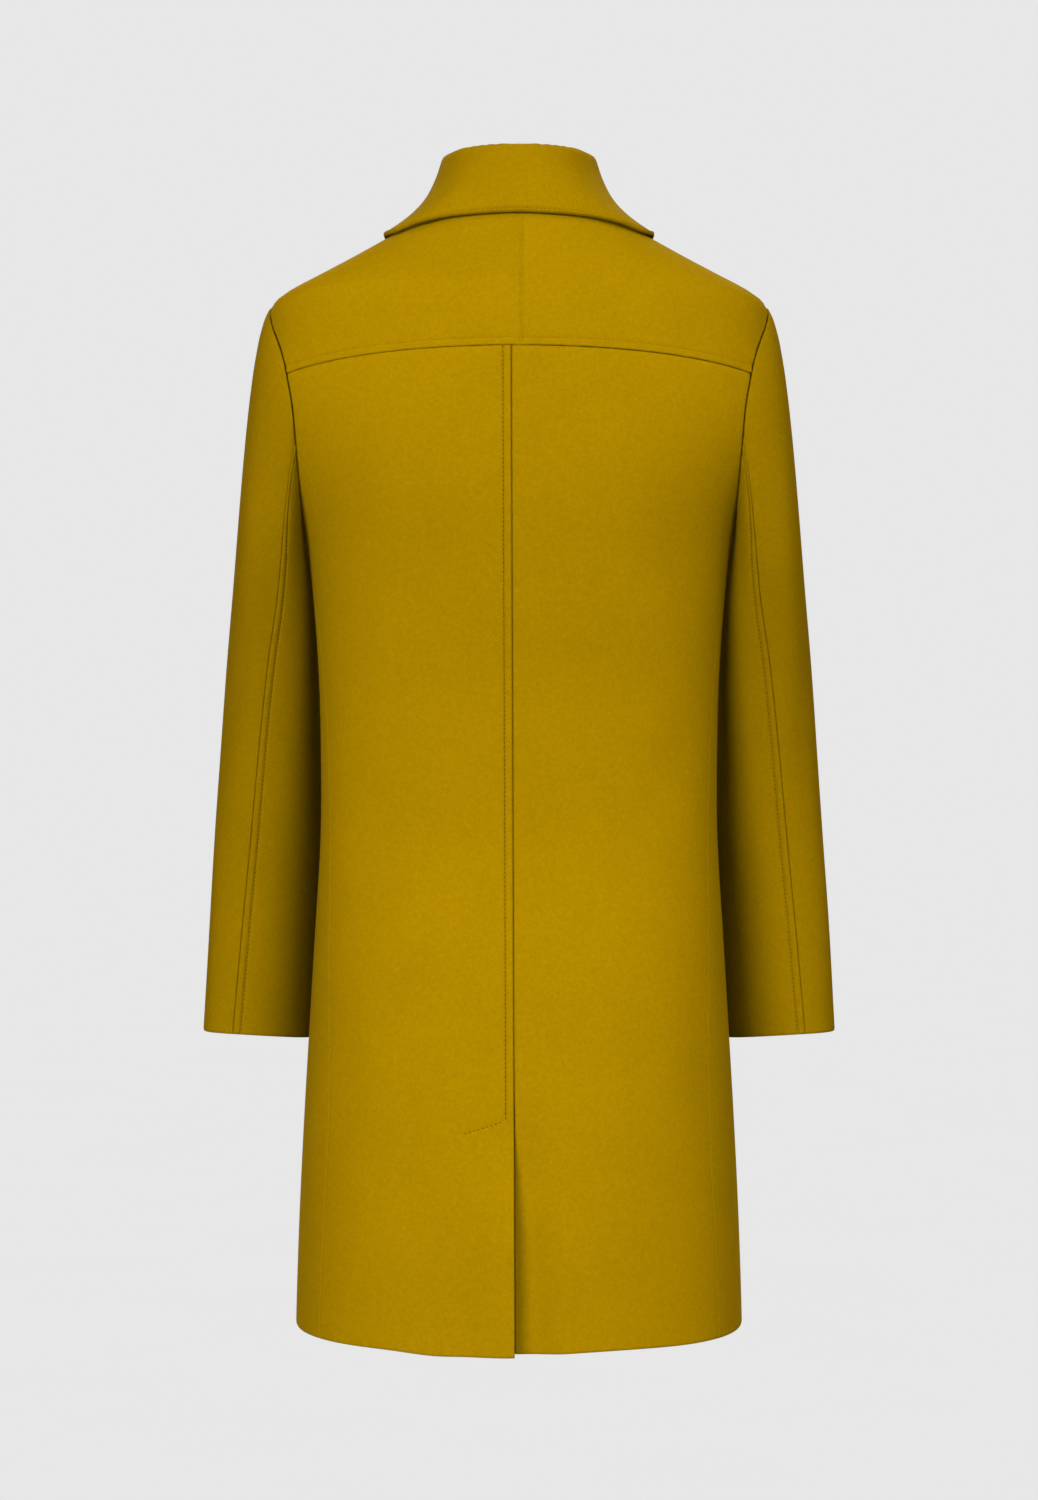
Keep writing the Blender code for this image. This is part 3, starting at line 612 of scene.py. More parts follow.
class Grid:
    """A panel's outer face as rows of points, with the distance of each point from the panel's edges."""

    def __init__(self, points, normals, first, last, bottom, top):
        self.points = points
        self.normals = normals
        self.first = first
        self.last = last
        self.bottom = bottom
        self.top = top

    def beside(self, other):
        """This grid with another one's columns after its own; they share a column."""
        return Grid(*[np.concatenate([getattr(self, name), getattr(other, name)[:, 1:]], axis=1)
                      for name in ("points", "normals", "first", "last", "bottom", "top")])

    def mirrored(self):
        """The same panel for the other side, its columns in the opposite order."""
        flip = np.array((-1.0, 1.0, 1.0))
        fields = (self.points * flip, self.normals * flip, self.last, self.first, self.bottom, self.top)
        return Grid(*[field[:, ::-1] for field in fields])

    def rim(self, first=SEAM_RIM, last=SEAM_RIM, bottom=SEAM_RIM, top=SEAM_RIM):
        """Profile that rounds the panel's four edges, each over a length of its own."""
        return (rounded(self.first, first) * rounded(self.last, last)
                * rounded(self.bottom, bottom) * rounded(self.top, top))


def edge_line(*stretches):
    """Angles and heights of several stretches of an edge, one after another."""
    return np.concatenate([np.stack(np.broadcast_arrays(*stretch), axis=-1) for stretch in stretches])


def edge_length(edge):
    return walked(body_point(edge[:, 0], edge[:, 1]))


def on_edge(edge, places):
    """Angles and heights at distances along an edge."""
    along = edge_length(edge)
    return np.stack([np.interp(places, along, edge[:, k]) for k in (0, 1)], axis=-1)


def bottom_width(inner, outer):
    """Distance on the body between the lower ends of two edges."""
    return walked(body_point(*[np.linspace(inner[0, k], outer[0, k], WIDTH_SAMPLES) for k in (0, 1)]))[-1]


def body_grid(inner, outer, anchors, rows, columns, side=1, sunk=no_sink, fit_top=None):
    """Panel between two edges. Anchors pair distances on the two edges that one row joins."""
    anchors = np.array(anchors)
    inner_ends = on_edge(inner, rows)
    outer_rows = smooth_curve(anchors[:, 0], anchors[:, 1], rows)
    outer_ends = on_edge(outer, outer_rows)
    shares = np.linspace(0, 1, ROW_SAMPLES)

    def row_points(share):
        angle = blend(inner_ends[:, :1], outer_ends[:, :1], share)
        height = blend(inner_ends[:, 1:], outer_ends[:, 1:], share ** ROW_BOW)
        if fit_top is not None:
            top_height = blend(inner_ends[-1, 1], outer_ends[-1, 1], share ** ROW_BOW)
            height = height + (fit_top(angle) - top_height) * soft_step((rows / rows[-1])[:, None]) ** 2
        return angle, height

    along = walked(body_point(*row_points(np.broadcast_to(shares, (len(rows), ROW_SAMPLES)))))
    lengths = along[:, -1]
    first = np.array([refitted(columns, length, BODY_EDGE_KEPT) for length in lengths])
    share = np.array([np.interp(first[k], along[k], shares) for k in range(len(rows))])
    angle, height = row_points(share)
    points = body_point(side * angle, height)
    normals = body_normal(side * angle, height)
    points = points + normals * (drape(points) - sunk(points[..., 0], height))[..., None]
    bottom = blend(rows[:, None], outer_rows[:, None], share)
    top = blend((rows[-1] - rows)[:, None], (outer_rows[-1] - outer_rows)[:, None], share)
    return Grid(points, normals, first, lengths[:, None] - first, bottom, top)


def back_grid(side, sunk):
    """Back panel of one side, from the centre back seam to the side seam and the armhole."""
    heights = np.linspace(HEM_HEIGHT, YOKE_SEAM_HEIGHT, INNER_SAMPLES)
    inner = edge_line((side * angle_at_x(seam_x(heights) - side * SEAM_LAP / 2, heights), heights))
    sides = np.linspace(HEM_HEIGHT, ARMHOLE_BOTTOM, SIDE_SAMPLES)
    outer = edge_line((side_seam(sides), sides),
                      armhole(np.linspace(SIDE_SEAM_TURN, YOKE_TURN, CURVE_SAMPLES)))
    inner_length, outer_length = edge_length(inner)[-1], edge_length(outer)[-1]
    rows = graded(inner_length, fine_stretches=[
        (VENT_STITCH_END[1] - HEM_HEIGHT, VENT_STITCH_START[1] - HEM_HEIGHT, 2 * STITCH_SPACING)])
    level = LEVEL_ROW - HEM_HEIGHT
    anchors = [(0, 0), (level, level * LEVEL_ROW_STRETCH), (inner_length, outer_length)]
    columns = graded(bottom_width(inner, outer), [STITCH_INSET])
    return body_grid(inner, outer, anchors, rows, columns, side, sunk)


def yoke_grid():
    """Back yoke, from the yoke seam over both shoulders to the neck."""
    heights = np.linspace(YOKE_SEAM_HEIGHT, neck_height(0.0), WIDTH_SAMPLES)
    inner = edge_line((0.0, heights))
    outer = edge_line(armhole(np.linspace(YOKE_TURN, SHOULDER_SEAM_TURN - 360, CURVE_SAMPLES)),
                      shoulder_seam(np.linspace(1, 0, CURVE_SAMPLES)[1:]))
    inner_length, outer_length = edge_length(inner)[-1], edge_length(outer)[-1]
    rows = graded(inner_length, [STITCH_INSET])
    anchors = [(0, 0), (YOKE_LEVEL_BAND, YOKE_LEVEL_BAND), (inner_length, outer_length)]
    columns = graded(bottom_width(inner, outer), edges=(1,))
    right = body_grid(inner, outer, anchors, rows, columns, fit_top=neck_height)
    return right.mirrored().beside(right)


def front_grid(side, sunk):
    """Front panel of one side, from the front edge to the side seam, the armhole and the shoulder."""
    heights = np.linspace(HEM_HEIGHT, -FRONT_NECK_DROP, INNER_SAMPLES)
    neck_angles = np.linspace(NECK_START_ANGLE, SHOULDER_SEAM_ANGLE, CURVE_SAMPLES)
    inner = edge_line((180 + angle_at_x(OVERLAP_HALF, heights), heights),
                      (neck_angles, neck_height(neck_angles)))
    sides = np.linspace(HEM_HEIGHT, ARMHOLE_BOTTOM, SIDE_SAMPLES)
    turns = np.linspace(SIDE_SEAM_TURN, SHOULDER_SEAM_TURN, SIDE_SAMPLES)
    outer = edge_line((side_seam(sides), sides), armhole(turns))
    inner_length, outer_length = edge_length(inner), edge_length(outer)
    chest = np.interp(CHEST_TURN, turns, outer_length[SIDE_SAMPLES:])
    level = LEVEL_ROW - HEM_HEIGHT
    edge_end, neck_start = inner_length[INNER_SAMPLES - 1:INNER_SAMPLES + 1]
    anchors = [(0, 0), (level, level * LEVEL_ROW_STRETCH), (neck_start, chest),
               (inner_length[-1], outer_length[-1])]
    rows = graded(inner_length[-1], fine_stretches=[(edge_end, neck_start, 4 * EDGE_SPACING)])
    columns = graded(bottom_width(inner, outer), [STITCH_INSET])
    return body_grid(inner, outer, anchors, rows, columns, side, sunk)


# Sleeves

def sleeve_sizes(height, *names):
    """Sizes of the right sleeve at a height, by their columns."""
    return [look_up(SLEEVE_ROWS, SLEEVE_COLUMNS, "height", name, height) for name in names]


def sleeve_turn(share, height):
    """Turn round the sleeve ring for a share: 0 outside, 1 back seam, 2 inside, 3 front seam, 4 outside."""
    back = sleeve_sizes(height, "back_seam_turn")[0]
    rest = share % 4
    return np.select(
        [rest < 1, rest < 2, rest < 3],
        [back * rest, blend(back, 180.0, rest - 1), blend(180.0, FRONT_SLEEVE_TURN, rest - 2)],
        blend(FRONT_SLEEVE_TURN, 360.0, rest - 3))


def sleeve_ring(share, height):
    """Points of the right sleeve below its cap."""
    outer_x, depth, centre_y, skew = sleeve_sizes(height, "outer_x", "depth", "centre_y", "skew")
    inner_x = ring(height)[0] + SLEEVE_CLEARANCE
    turn = np.radians(sleeve_turn(share, height))
    sine, cosine = np.sin(turn), np.cos(turn)
    down = (CAP_END - height) / (CAP_END - CUFF_HEIGHT)
    slant = CUFF_RISE - CUFF_SLANT * ((1 - cosine) / 2) ** 2
    power = straight(SLEEVE_POWER_ROWS, height)
    fuller = (np.abs(cosine) ** power + np.abs(sine) ** power) ** (-1 / power)
    return np.stack([(outer_x + inner_x) / 2 + (outer_x - inner_x) / 2 * cosine * fuller,
                     centre_y - depth * sine * fuller - skew * cosine,
                     height + down * slant], axis=-1)


def sleeve_point(share, along):
    """Outer face of the right sleeve: along 0 is the armhole, 1 the end of the cap, 2 the cuff."""
    share, along = np.broadcast_arrays(share % 4, along)
    arm = sleeve_ring(share, blend(CAP_END, CUFF_HEIGHT, np.clip(along - 1, 0, 1)))
    mirrored = np.minimum(share, 4 - share)
    out, back, down, start_length, end_length = (
        look_up(CAP_ROWS, CAP_COLUMNS, "share", name, mirrored, flat_ends=True) for name in CAP_COLUMNS[1:])
    forward = np.where(share > 2, 1.0, -1.0)
    leave = unit(np.stack([out, forward * back, -down], axis=-1))
    angle, height = armhole(np.interp(share, range(5), ARMHOLE_QUARTERS))
    gap = straight(ARMHOLE_GAP_ROWS, share)
    start = body_point(angle, height) + gap[..., None] * unit(leave + body_normal(angle, height))
    end = sleeve_ring(share, CAP_END + 0 * share)
    arrive = unit(sleeve_ring(share, CAP_END - CAP_END_STEP + 0 * share) - end)
    t = np.clip(along, 0, 1)[..., None]
    cap = (start * (1 + 2 * t) * (1 - t) ** 2 + end * t * t * (3 - 2 * t)
           + leave * start_length[..., None] * t * (1 - t) ** 2
           - arrive * end_length[..., None] * t * t * (1 - t))
    return np.where((along < 1)[..., None], cap, arm)


def sleeve_drape(share, height, side):
    """How far the soft creases move the cloth of one sleeve out."""
    return sum(crease(((share - fold_share + 2) % 4 - 2) * SLEEVE_SHARE_WIDTH, height - fold_height, *shape)
               for row_side, fold_share, fold_height, *shape in SLEEVE_FOLD_ROWS if row_side == side)


def grid_normals(points):
    """Directions across a grid, from its own rows and columns."""
    return unit(np.cross(np.gradient(points, axis=1), np.gradient(points, axis=0)))


def sleeve_grid(first_share, last_share, side):
    """Half of a sleeve between two shares of the way round, its rows from the cuff up to the armhole."""
    levels = np.concatenate([np.linspace(2, 1, ARM_SAMPLES), np.linspace(1, 0, CAP_SAMPLES)[1:]])
    shares = np.linspace(first_share, last_share, ROUND_SAMPLES)
    round_it = walked(sleeve_point(shares[None, :], levels[:, None]))
    columns = graded(round_it[:, -1].mean(), [STITCH_INSET])
    share_at = np.array([np.interp(refitted(columns, line[-1], SLEEVE_EDGE_KEPT), line, shares)
                         for line in round_it])
    lengthwise = walked(sleeve_point(share_at, levels[:, None]).transpose(1, 0, 2))
    rows = graded(lengthwise[:, -1].mean())
    up = np.array([refitted(rows, line[-1], SLEEVE_EDGE_KEPT) for line in lengthwise]).T
    level = np.array([np.interp(up[:, k], lengthwise[k], levels) for k in range(len(columns))]).T
    share = np.array([np.interp(-level[:, k], -levels, share_at[:, k]) for k in range(len(columns))]).T
    points = sleeve_point(share, level)
    normals = grid_normals(points)
    normals = normals * np.sign(np.sum(normals * (points - sleeve_axis(points)), axis=-1).mean())
    points = points + normals * sleeve_drape(share, points[..., 2], side)[..., None]
    first = walked(points)
    grid = Grid(points, normals, first, first[:, -1:] - first, up, up[-1:] - up)
    return grid if side > 0 else grid.mirrored()


def sleeve_axis(points):
    """Points inside the right sleeve at the same heights, to tell its outside from its inside."""
    heights = np.clip(points[..., 2], CUFF_HEIGHT, CAP_END)
    outer_x, centre_y = sleeve_sizes(heights, "outer_x", "centre_y")
    return np.stack([(outer_x + ring(heights)[0]) / 2, centre_y, points[..., 2]], axis=-1)


# Collar

def bezier(start, start_handle, end_handle, end, steps):
    """Points along cubic curves, one curve for each row of the ends."""
    t = np.linspace(0, 1, steps + 1)[None, :, None]
    start, start_handle, end_handle, end = (item[:, None] for item in (start, start_handle, end_handle, end))
    return (start * (1 - t) ** 3 + start_handle * 3 * t * (1 - t) ** 2
            + end_handle * 3 * t * t * (1 - t) + end * t ** 3)


def collar_sections(angles):
    """Middle line of the collar at each neck angle: stand, fold and fall."""
    side = np.where(angles < 0, -1.0, 1.0)
    neck = body_point(angles, neck_height(angles))
    normal = body_normal(angles, neck_height(angles))
    lead = angles - FOLD_LEAD * np.sin(np.radians(angles))
    turn = np.radians(lead)
    depth = np.where(np.abs(lead) < 90, FOLD_BACK, FOLD_FRONT)
    drop = np.clip((np.abs(lead) - FOLD_FALL_START) / (180 - FOLD_FALL_START), 0, 1) ** FOLD_FALL_POWER
    fold = np.stack([FOLD_HALF_WIDTH * np.sin(turn), FOLD_CENTRE_Y - depth * np.cos(turn),
                     FOLD_HEIGHT + FOLD_CROWN * np.sin(turn) ** 2 - FOLD_FALL * drop], axis=-1)
    outward = unit(np.stack([np.sin(turn) / FOLD_HALF_WIDTH, -np.cos(turn) / depth, 0 * turn], axis=-1))
    upward = np.array((0.0, 0.0, 1.0))

    uphill = unit(upward - normal * normal[:, 2:])
    base = neck - normal * CLOTH / 2 + uphill * NECK_SEAM_GAP
    stand_top = fold - outward * FOLD_RADIUS
    rise = np.linalg.norm(stand_top - base, axis=-1, keepdims=True)
    stand = bezier(base, base + uphill * rise / 6, stand_top - upward * rise / 3, stand_top,
                   STAND_STEPS)

    bends = np.linspace(0, math.pi, BEND_STEPS + 1)[None, :, None]
    arc = fold[:, None] + FOLD_RADIUS * (upward * np.sin(bends) - outward[:, None] * np.cos(bends))

    edge_angle, edge_height, clearance = (
        look_up(COLLAR_EDGE_ROWS, COLLAR_EDGE_COLUMNS, "neck_angle", name, np.abs(angles), flat_ends=True)
        for name in COLLAR_EDGE_COLUMNS[1:])
    edge_normal = body_normal(side * edge_angle, edge_height)
    edge = body_point(side * edge_angle, edge_height) + edge_normal * (clearance + COLLAR_CLOTH / 2)[:, None]
    fall_top = fold + outward * FOLD_RADIUS
    back_up = fall_top - edge
    length = np.linalg.norm(back_up, axis=-1, keepdims=True)
    along = unit(back_up - edge_normal * np.sum(back_up * edge_normal, axis=-1, keepdims=True))
    roll = (outward * FALL_FLARE - upward) * length * FALL_ROLL
    fall = bezier(fall_top, fall_top + roll, edge + along * length * FALL_REST, edge, FALL_STEPS)
    return np.concatenate([stand, arc[:, 1:-1], fall], axis=1)


def collar_grid():
    """Outer face of the collar: rows from neck seam over fold to outer edge, columns round the neck."""
    dense = np.linspace(-NECK_START_ANGLE, NECK_START_ANGLE, COLLAR_SAMPLES)
    edge_walk = walked(collar_sections(dense)[:, -1])
    columns = graded(edge_walk[-1], [COLLAR_INSET, edge_walk[-1] - COLLAR_INSET])
    lines = collar_sections(np.interp(columns, edge_walk, dense))
    along = walked(lines)
    mean_length = along[:, -1].mean()
    rows = graded(mean_length, [mean_length - COLLAR_INSET])
    bottom = np.array([refitted(rows, line[-1], COLLAR_EDGE_KEPT) for line in along])
    middle = np.array([[np.interp(bottom[k], along[k], lines[k, :, axis]) for axis in range(3)]
                       for k in range(len(columns))]).transpose(2, 0, 1)
    normals = -grid_normals(middle)
    points = middle + normals * CLOTH / 2
    first = walked(middle)
    return Grid(points, normals, first, first[:, -1:] - first, bottom.T, (along[:, -1:] - bottom).T)


# Cloth shells

def rounded(distance, rim):
    """Profile of a rounded edge: 0 at the edge, 1 from the rim's length on."""
    return np.sqrt(1 - (1 - np.clip(distance / rim, 0, 1)) ** 2)


def trough(distance, place, depth=TROUGH_DEPTH, width=TROUGH_WIDTH):
    """Groove that a row of stitches draws into the cloth."""
    return -depth * np.exp(-((distance - place) / width) ** 2)


def seam_step(distance):
    """Slight drop of the lower panel at a seam, where the other one is turned over it."""
    return -SEAM_STEP * (1 - soft_step(distance / SEAM_STEP_REACH))


def raised_band(distance, place):
    """Low ridge between a seam and its row of stitches, where the turnings lie underneath."""
    ending = soft_step((distance - place + BAND_LEAD) / BAND_END)
    return BAND_RISE * soft_step(distance / BAND_START) * (1 - ending)


def pucker(distance, along):
    """Slight waves that a seam draws into the cloth beside it."""
    waves = sum(np.sin(2 * math.pi * along / length + phase) for length, phase in PUCKER_WAVES)
    return PUCKER * waves * np.exp(-(distance / PUCKER_REACH) ** 2)


def turned_hem(distance):
    """Extra thickness inside a turned-up hem."""
    return HEM_EXTRA * (1 - soft_step((distance - HEM_TURNING) / HEM_TURNING_END))


def shell_faces(kept):
    """Outer and inner faces of a shell over the kept cells of a grid, and the vertices that they share."""
    around = np.pad(kept, 1)
    inside = around[:-1, :-1] & around[1:, :-1] & around[:-1, 1:] & around[1:, 1:]
    used = around[:-1, :-1] | around[1:, :-1] | around[:-1, 1:] | around[1:, 1:]
    outer_index = np.where(used, np.cumsum(used).reshape(used.shape) - 1, -1)
    inner_index = np.where(inside, np.cumsum(inside).reshape(used.shape) - 1 + used.sum(), outer_index)
    row, column_at = np.nonzero(kept)
    corners = ((row, column_at), (row, column_at + 1), (row + 1, column_at + 1), (row + 1, column_at))
    outer_faces = np.stack([outer_index[corner] for corner in corners], axis=-1)
    inner_faces = np.stack([inner_index[corner] for corner in corners[::-1]], axis=-1)
    return used, inside, np.concatenate([outer_faces, inner_faces])


def linked(name, data):
    """New object with this data, put into the scene."""
    thing = bpy.data.objects.new(name, data)
    bpy.context.scene.collection.objects.link(thing)
    return thing


def make_shell(name, grid, rim, relief, lining, material, thickness=CLOTH, kept=None):
    """Closed thin cloth on a grid: rim rounds its edges, relief shapes its face, lining its inside."""
    rows, columns = rim.shape
    if kept is None:
        kept = np.ones((rows - 1, columns - 1), bool)
    middle = grid.points - grid.normals * CLOTH / 2
    outer = middle + grid.normals * (rim * (thickness / 2 + relief))[..., None]
    inner = middle - grid.normals * (rim * (thickness / 2 + lining))[..., None]
    used, inside, faces = shell_faces(kept)
    steps = np.diff(outer, axis=0)[:, :-1], np.diff(outer, axis=1)[:-1]
    facing = np.sum(np.cross(steps[1], steps[0]) * grid.normals[:-1, :-1], axis=-1).mean()
    if facing < 0:
        faces = faces[:, ::-1]
    mesh = bpy.data.meshes.new(name)
    mesh.from_pydata(np.concatenate([outer[used], inner[inside]]).tolist(), [], faces.tolist())
    cloth = np.stack([grid.first, grid.bottom, 0 * rim], axis=-1)
    layer = mesh.attributes.new("cloth", "FLOAT_VECTOR", "POINT")
    layer.data.foreach_set("vector", np.concatenate([cloth[used], cloth[inside]]).astype(np.float32).ravel())
    mesh.shade_smooth()
    mesh.materials.append(material)
    piece = linked(name, mesh)
    # Light thrown from panel to panel is left out, so gaps beside the sleeves are as deep as shown
    piece.visible_diffuse = False
    return piece, outer


def finished(piece, node):
    """The piece rides on the coat and stands for its node, whose own part is hidden."""
    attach(piece, "root")
    if node:
        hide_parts(node)
    return piece


# Stitches

def level_line(outer, distance, place):
    """Line on a panel's outer face where the distance from an edge, growing along rows, has this value."""
    line = []
    for points, away in zip(outer, distance):
        order = np.argsort(away)
        line.append([np.interp(place, away[order], points[order, axis]) for axis in range(3)])
    return np.array(line)


def along_line(at, along, values):
    """Points or normals of a line at these distances along it."""
    return np.stack([np.interp(at, along, values[:, axis]) for axis in range(3)], axis=-1)


def make_stitches(name, lines, material, stitch_length=STITCH_LENGTH):
    """Rows of short threads, each sunk into the cloth at both ends, along lines of (points, normals)."""
    sides, rings = STITCH_SIDES, len(STITCH_PROFILE)
    turns = np.linspace(0, 2 * math.pi, sides, endpoint=False)
    share = np.linspace(-0.5, 0.5, rings)
    thickness, height = np.array(STITCH_PROFILE).T * STITCH_RADIUS
    verts, faces = [], []
    for points, normals in lines:
        along = walked(points)
        count = int(along[-1] / STITCH_PITCH)
        centres = (np.arange(count) + 0.5) * along[-1] / count
        places, starts, ends = (along_line(at, along, points) for at in (
            centres, centres - STITCH_PITCH / 2, centres + STITCH_PITCH / 2))
        facing = unit(along_line(centres, along, normals))
        for place, start, end, normal in zip(places, starts, ends, facing):
            way = unit(end - start)
            across = np.cross(normal, way)
            base = len(verts)
            for r in range(rings):
                centre = place + way * share[r] * stitch_length + normal * height[r]
                verts += [centre + thickness[r] * (across * math.cos(turn) + normal * math.sin(turn))
                          for turn in turns]
            for r in range(rings - 1):
                for s in range(sides):
                    here, there = base + r * sides + s, base + r * sides + (s + 1) % sides
                    faces.append((here, here + sides, there + sides, there))
            faces.append(tuple(base + s for s in range(sides)))
            faces.append(tuple(base + (rings - 1) * sides + s for s in reversed(range(sides))))
    mesh = bpy.data.meshes.new(name)
    mesh.from_pydata([tuple(vert) for vert in verts], [], faces)
    mesh.shade_smooth()
    mesh.materials.append(material)
    return finished(linked(name, mesh), None)


# Panels

def hem_shift(points, from_bottom, side):
    """How far the back hem of one side hangs higher, or lower where this is negative, than the level hem."""
    shift = sum(rise * np.exp(-((points[..., 0] - x) / reach) ** 2)
                for row_side, x, reach, rise in HEM_SHIFT_ROWS if row_side == side)
    return shift * np.exp(-(from_bottom / HEM_SHIFT_HEIGHT) ** 2)


def make_back_left(wool):
    """Left back, topstitched beside the centre seam and over the top of the vent."""
    grid = back_grid(-1, vent_lift)
    grid.points[..., 2] += hem_shift(grid.points, grid.bottom, -1)
    rim = grid.rim(bottom=HEM_RIM)
    stitched = soft_step((grid.points[..., 2] - VENT_STITCH_START[1]) / CENTRE_STITCH_FADE + 0.5)
    centre = trough(grid.first, STITCH_INSET, CENTRE_TROUGH_DEPTH, CENTRE_TROUGH_WIDTH)
    relief = ((centre + raised_band(grid.first, STITCH_INSET) + pucker(grid.first, grid.bottom)) * stitched
              + vent_stitch_trough(grid.points) + pucker(grid.top, grid.first) + seam_step(grid.top))
    piece, outer = make_shell("back_left_cloth", grid, rim, relief, turned_hem(grid.bottom), wool)
    rows = grid.points[:, 0, 2] > VENT_STITCH_START[1]
    line = level_line(outer, grid.first, STITCH_INSET)[rows]
    return finished(piece, "back_left"), (line, grid.normals[rows, 0]), vent_stitch_line()


def vent_stitch_trough(points):
    """Groove of the slanting stitches that hold the top of the vent."""
    start, end = np.array(VENT_STITCH_START), np.array(VENT_STITCH_END)
    flat = points[..., (0, 2)]
    way = end - start
    share = np.clip(((flat - start) @ way) / (way @ way), 0, 1)
    away = np.linalg.norm(flat - start - share[..., None] * way, axis=-1)
    return trough(away, 0.0, VENT_TROUGH_DEPTH)


def vent_stitch_line():
    """Points and directions along the slanting stitches, on the left back."""
    share = np.linspace(VENT_STITCH_SHARE, 1, VENT_STITCH_SAMPLES)
    x, height = (blend(VENT_STITCH_START[k], VENT_STITCH_END[k], share) for k in (0, 1))
    angle = angle_at_x(x, height)
    points, normals = body_point(angle, height), body_normal(angle, height)
    lift = drape(points) - vent_lift(x, height) - VENT_TROUGH_DEPTH
    return points + normals * lift[:, None], normals


def make_back_right(wool):
    """Right back, with the vent underlap cut on."""
    grid = back_grid(1, back_right_sink)
    reach = graded(UNDERLAP_WIDTH, edges=(0,))[:-1]
    heights = grid.points[:, :1, 2]
    angle = angle_at_x(seam_x(heights) - (UNDERLAP_WIDTH - reach)[None, :], heights)
    height = heights + 0 * angle
    points, normals = body_point(angle, height), body_normal(angle, height)
    points = points + normals * (drape(points) - back_right_sink(points[..., 0], height))[..., None]
    bottom = np.broadcast_to(grid.bottom[:, :1], height.shape)
    top = np.broadcast_to(grid.top[:, :1], height.shape)
    extra = len(reach)
    whole = Grid(*[np.concatenate(pair, axis=1) for pair in (
        (points, grid.points), (normals, grid.normals),
        (np.broadcast_to(reach[None, :], height.shape), grid.first),
        (grid.last[:, :1] + 0 * height, grid.last),
        (bottom, grid.bottom), (top, grid.top))])
    whole.points[..., 2] += hem_shift(whole.points, whole.bottom, 1)
    first_low = int(np.argmax(heights[:, 0] > UNDERLAP_TOP)) - 1
    kept = np.ones((len(heights) - 1, whole.points.shape[1] - 1), bool)
    kept[first_low:, :extra] = False
    drop = np.maximum(heights[first_low, 0] - grid.points[..., 2], 0)
    main_rim = rounded(np.hypot(grid.first, drop), SEAM_RIM)
    flap_rim = rounded(np.maximum(heights[first_low, 0] - height, 0), SEAM_RIM) * rounded(reach, HEM_RIM)
    rim = (np.concatenate([flap_rim, main_rim], axis=1) * rounded(whole.last, SEAM_RIM)
           * rounded(whole.bottom, HEM_RIM) * rounded(whole.top, SEAM_RIM))
    above = soft_step((height[:, -1:] - UNDERLAP_TOP) / VENT_SEAM_FADE)
    relief = ((pucker(whole.first, whole.bottom) + seam_step(whole.first)) * above
              + pucker(whole.top, whole.first) + seam_step(whole.top))
    piece, _ = make_shell("back_right_cloth", whole, rim, relief, turned_hem(whole.bottom), wool, kept=kept)
    return finished(piece, "back_right")


def make_yoke(wool):
    """Back yoke, topstitched above its seam."""
    grid = yoke_grid()
    rim = grid.rim()
    across = walked(grid.points)
    relief = (YOKE_SHARE * (trough(grid.bottom, STITCH_INSET) + raised_band(grid.bottom, STITCH_INSET))
              + pucker(grid.bottom, across) + pucker(np.minimum(grid.first, grid.last), grid.bottom))
    piece, outer = make_shell("back_yoke_cloth", grid, rim, relief, 0 * rim, wool)
    line = level_line(outer.transpose(1, 0, 2), grid.bottom.T, STITCH_INSET)
    shown = slice(YOKE_STITCH_TRIM, -YOKE_STITCH_TRIM)
    return finished(piece, "back_yoke"), (line[shown], grid.normals[0, shown])


def buttonhole_trough(points):
    """Slits of the buttonholes in the right front."""
    depth = np.zeros(points.shape[:-1])
    for height in BUTTON_HEIGHTS:
        along = np.clip(points[..., 0], BUTTONHOLE_START, BUTTONHOLE_END)
        away = np.hypot(points[..., 0] - along, points[..., 2] - height)
        slit = BUTTONHOLE_SLIT_DEPTH * np.exp(-(away / BUTTONHOLE_SLIT_WIDTH) ** 2)
        depth -= slit * (points[..., 1] > 0)
    return depth


def make_front(side, sunk, wool):
    """Front of one side; the right one lies on top, with topstitched edge and buttonholes."""
    word = "right" if side > 0 else "left"
    grid = front_grid(side, sunk)
    rim = grid.rim(first=HEM_RIM, bottom=HEM_RIM)
    relief = pucker(grid.top, grid.first)
    if side > 0:
        relief = relief + trough(grid.first, STITCH_INSET) + buttonhole_trough(grid.points)
    piece, outer = make_shell(f"front_{word}_cloth", grid, rim, relief, turned_hem(grid.bottom), wool)
    rows = grid.points[:, 0, 2] < -FRONT_NECK_DROP - STITCH_INSET
    line = level_line(outer, grid.first, STITCH_INSET)[rows]
    return finished(piece, f"front_{word}"), (line[STITCH_TRIM:], grid.normals[rows, 0][STITCH_TRIM:])


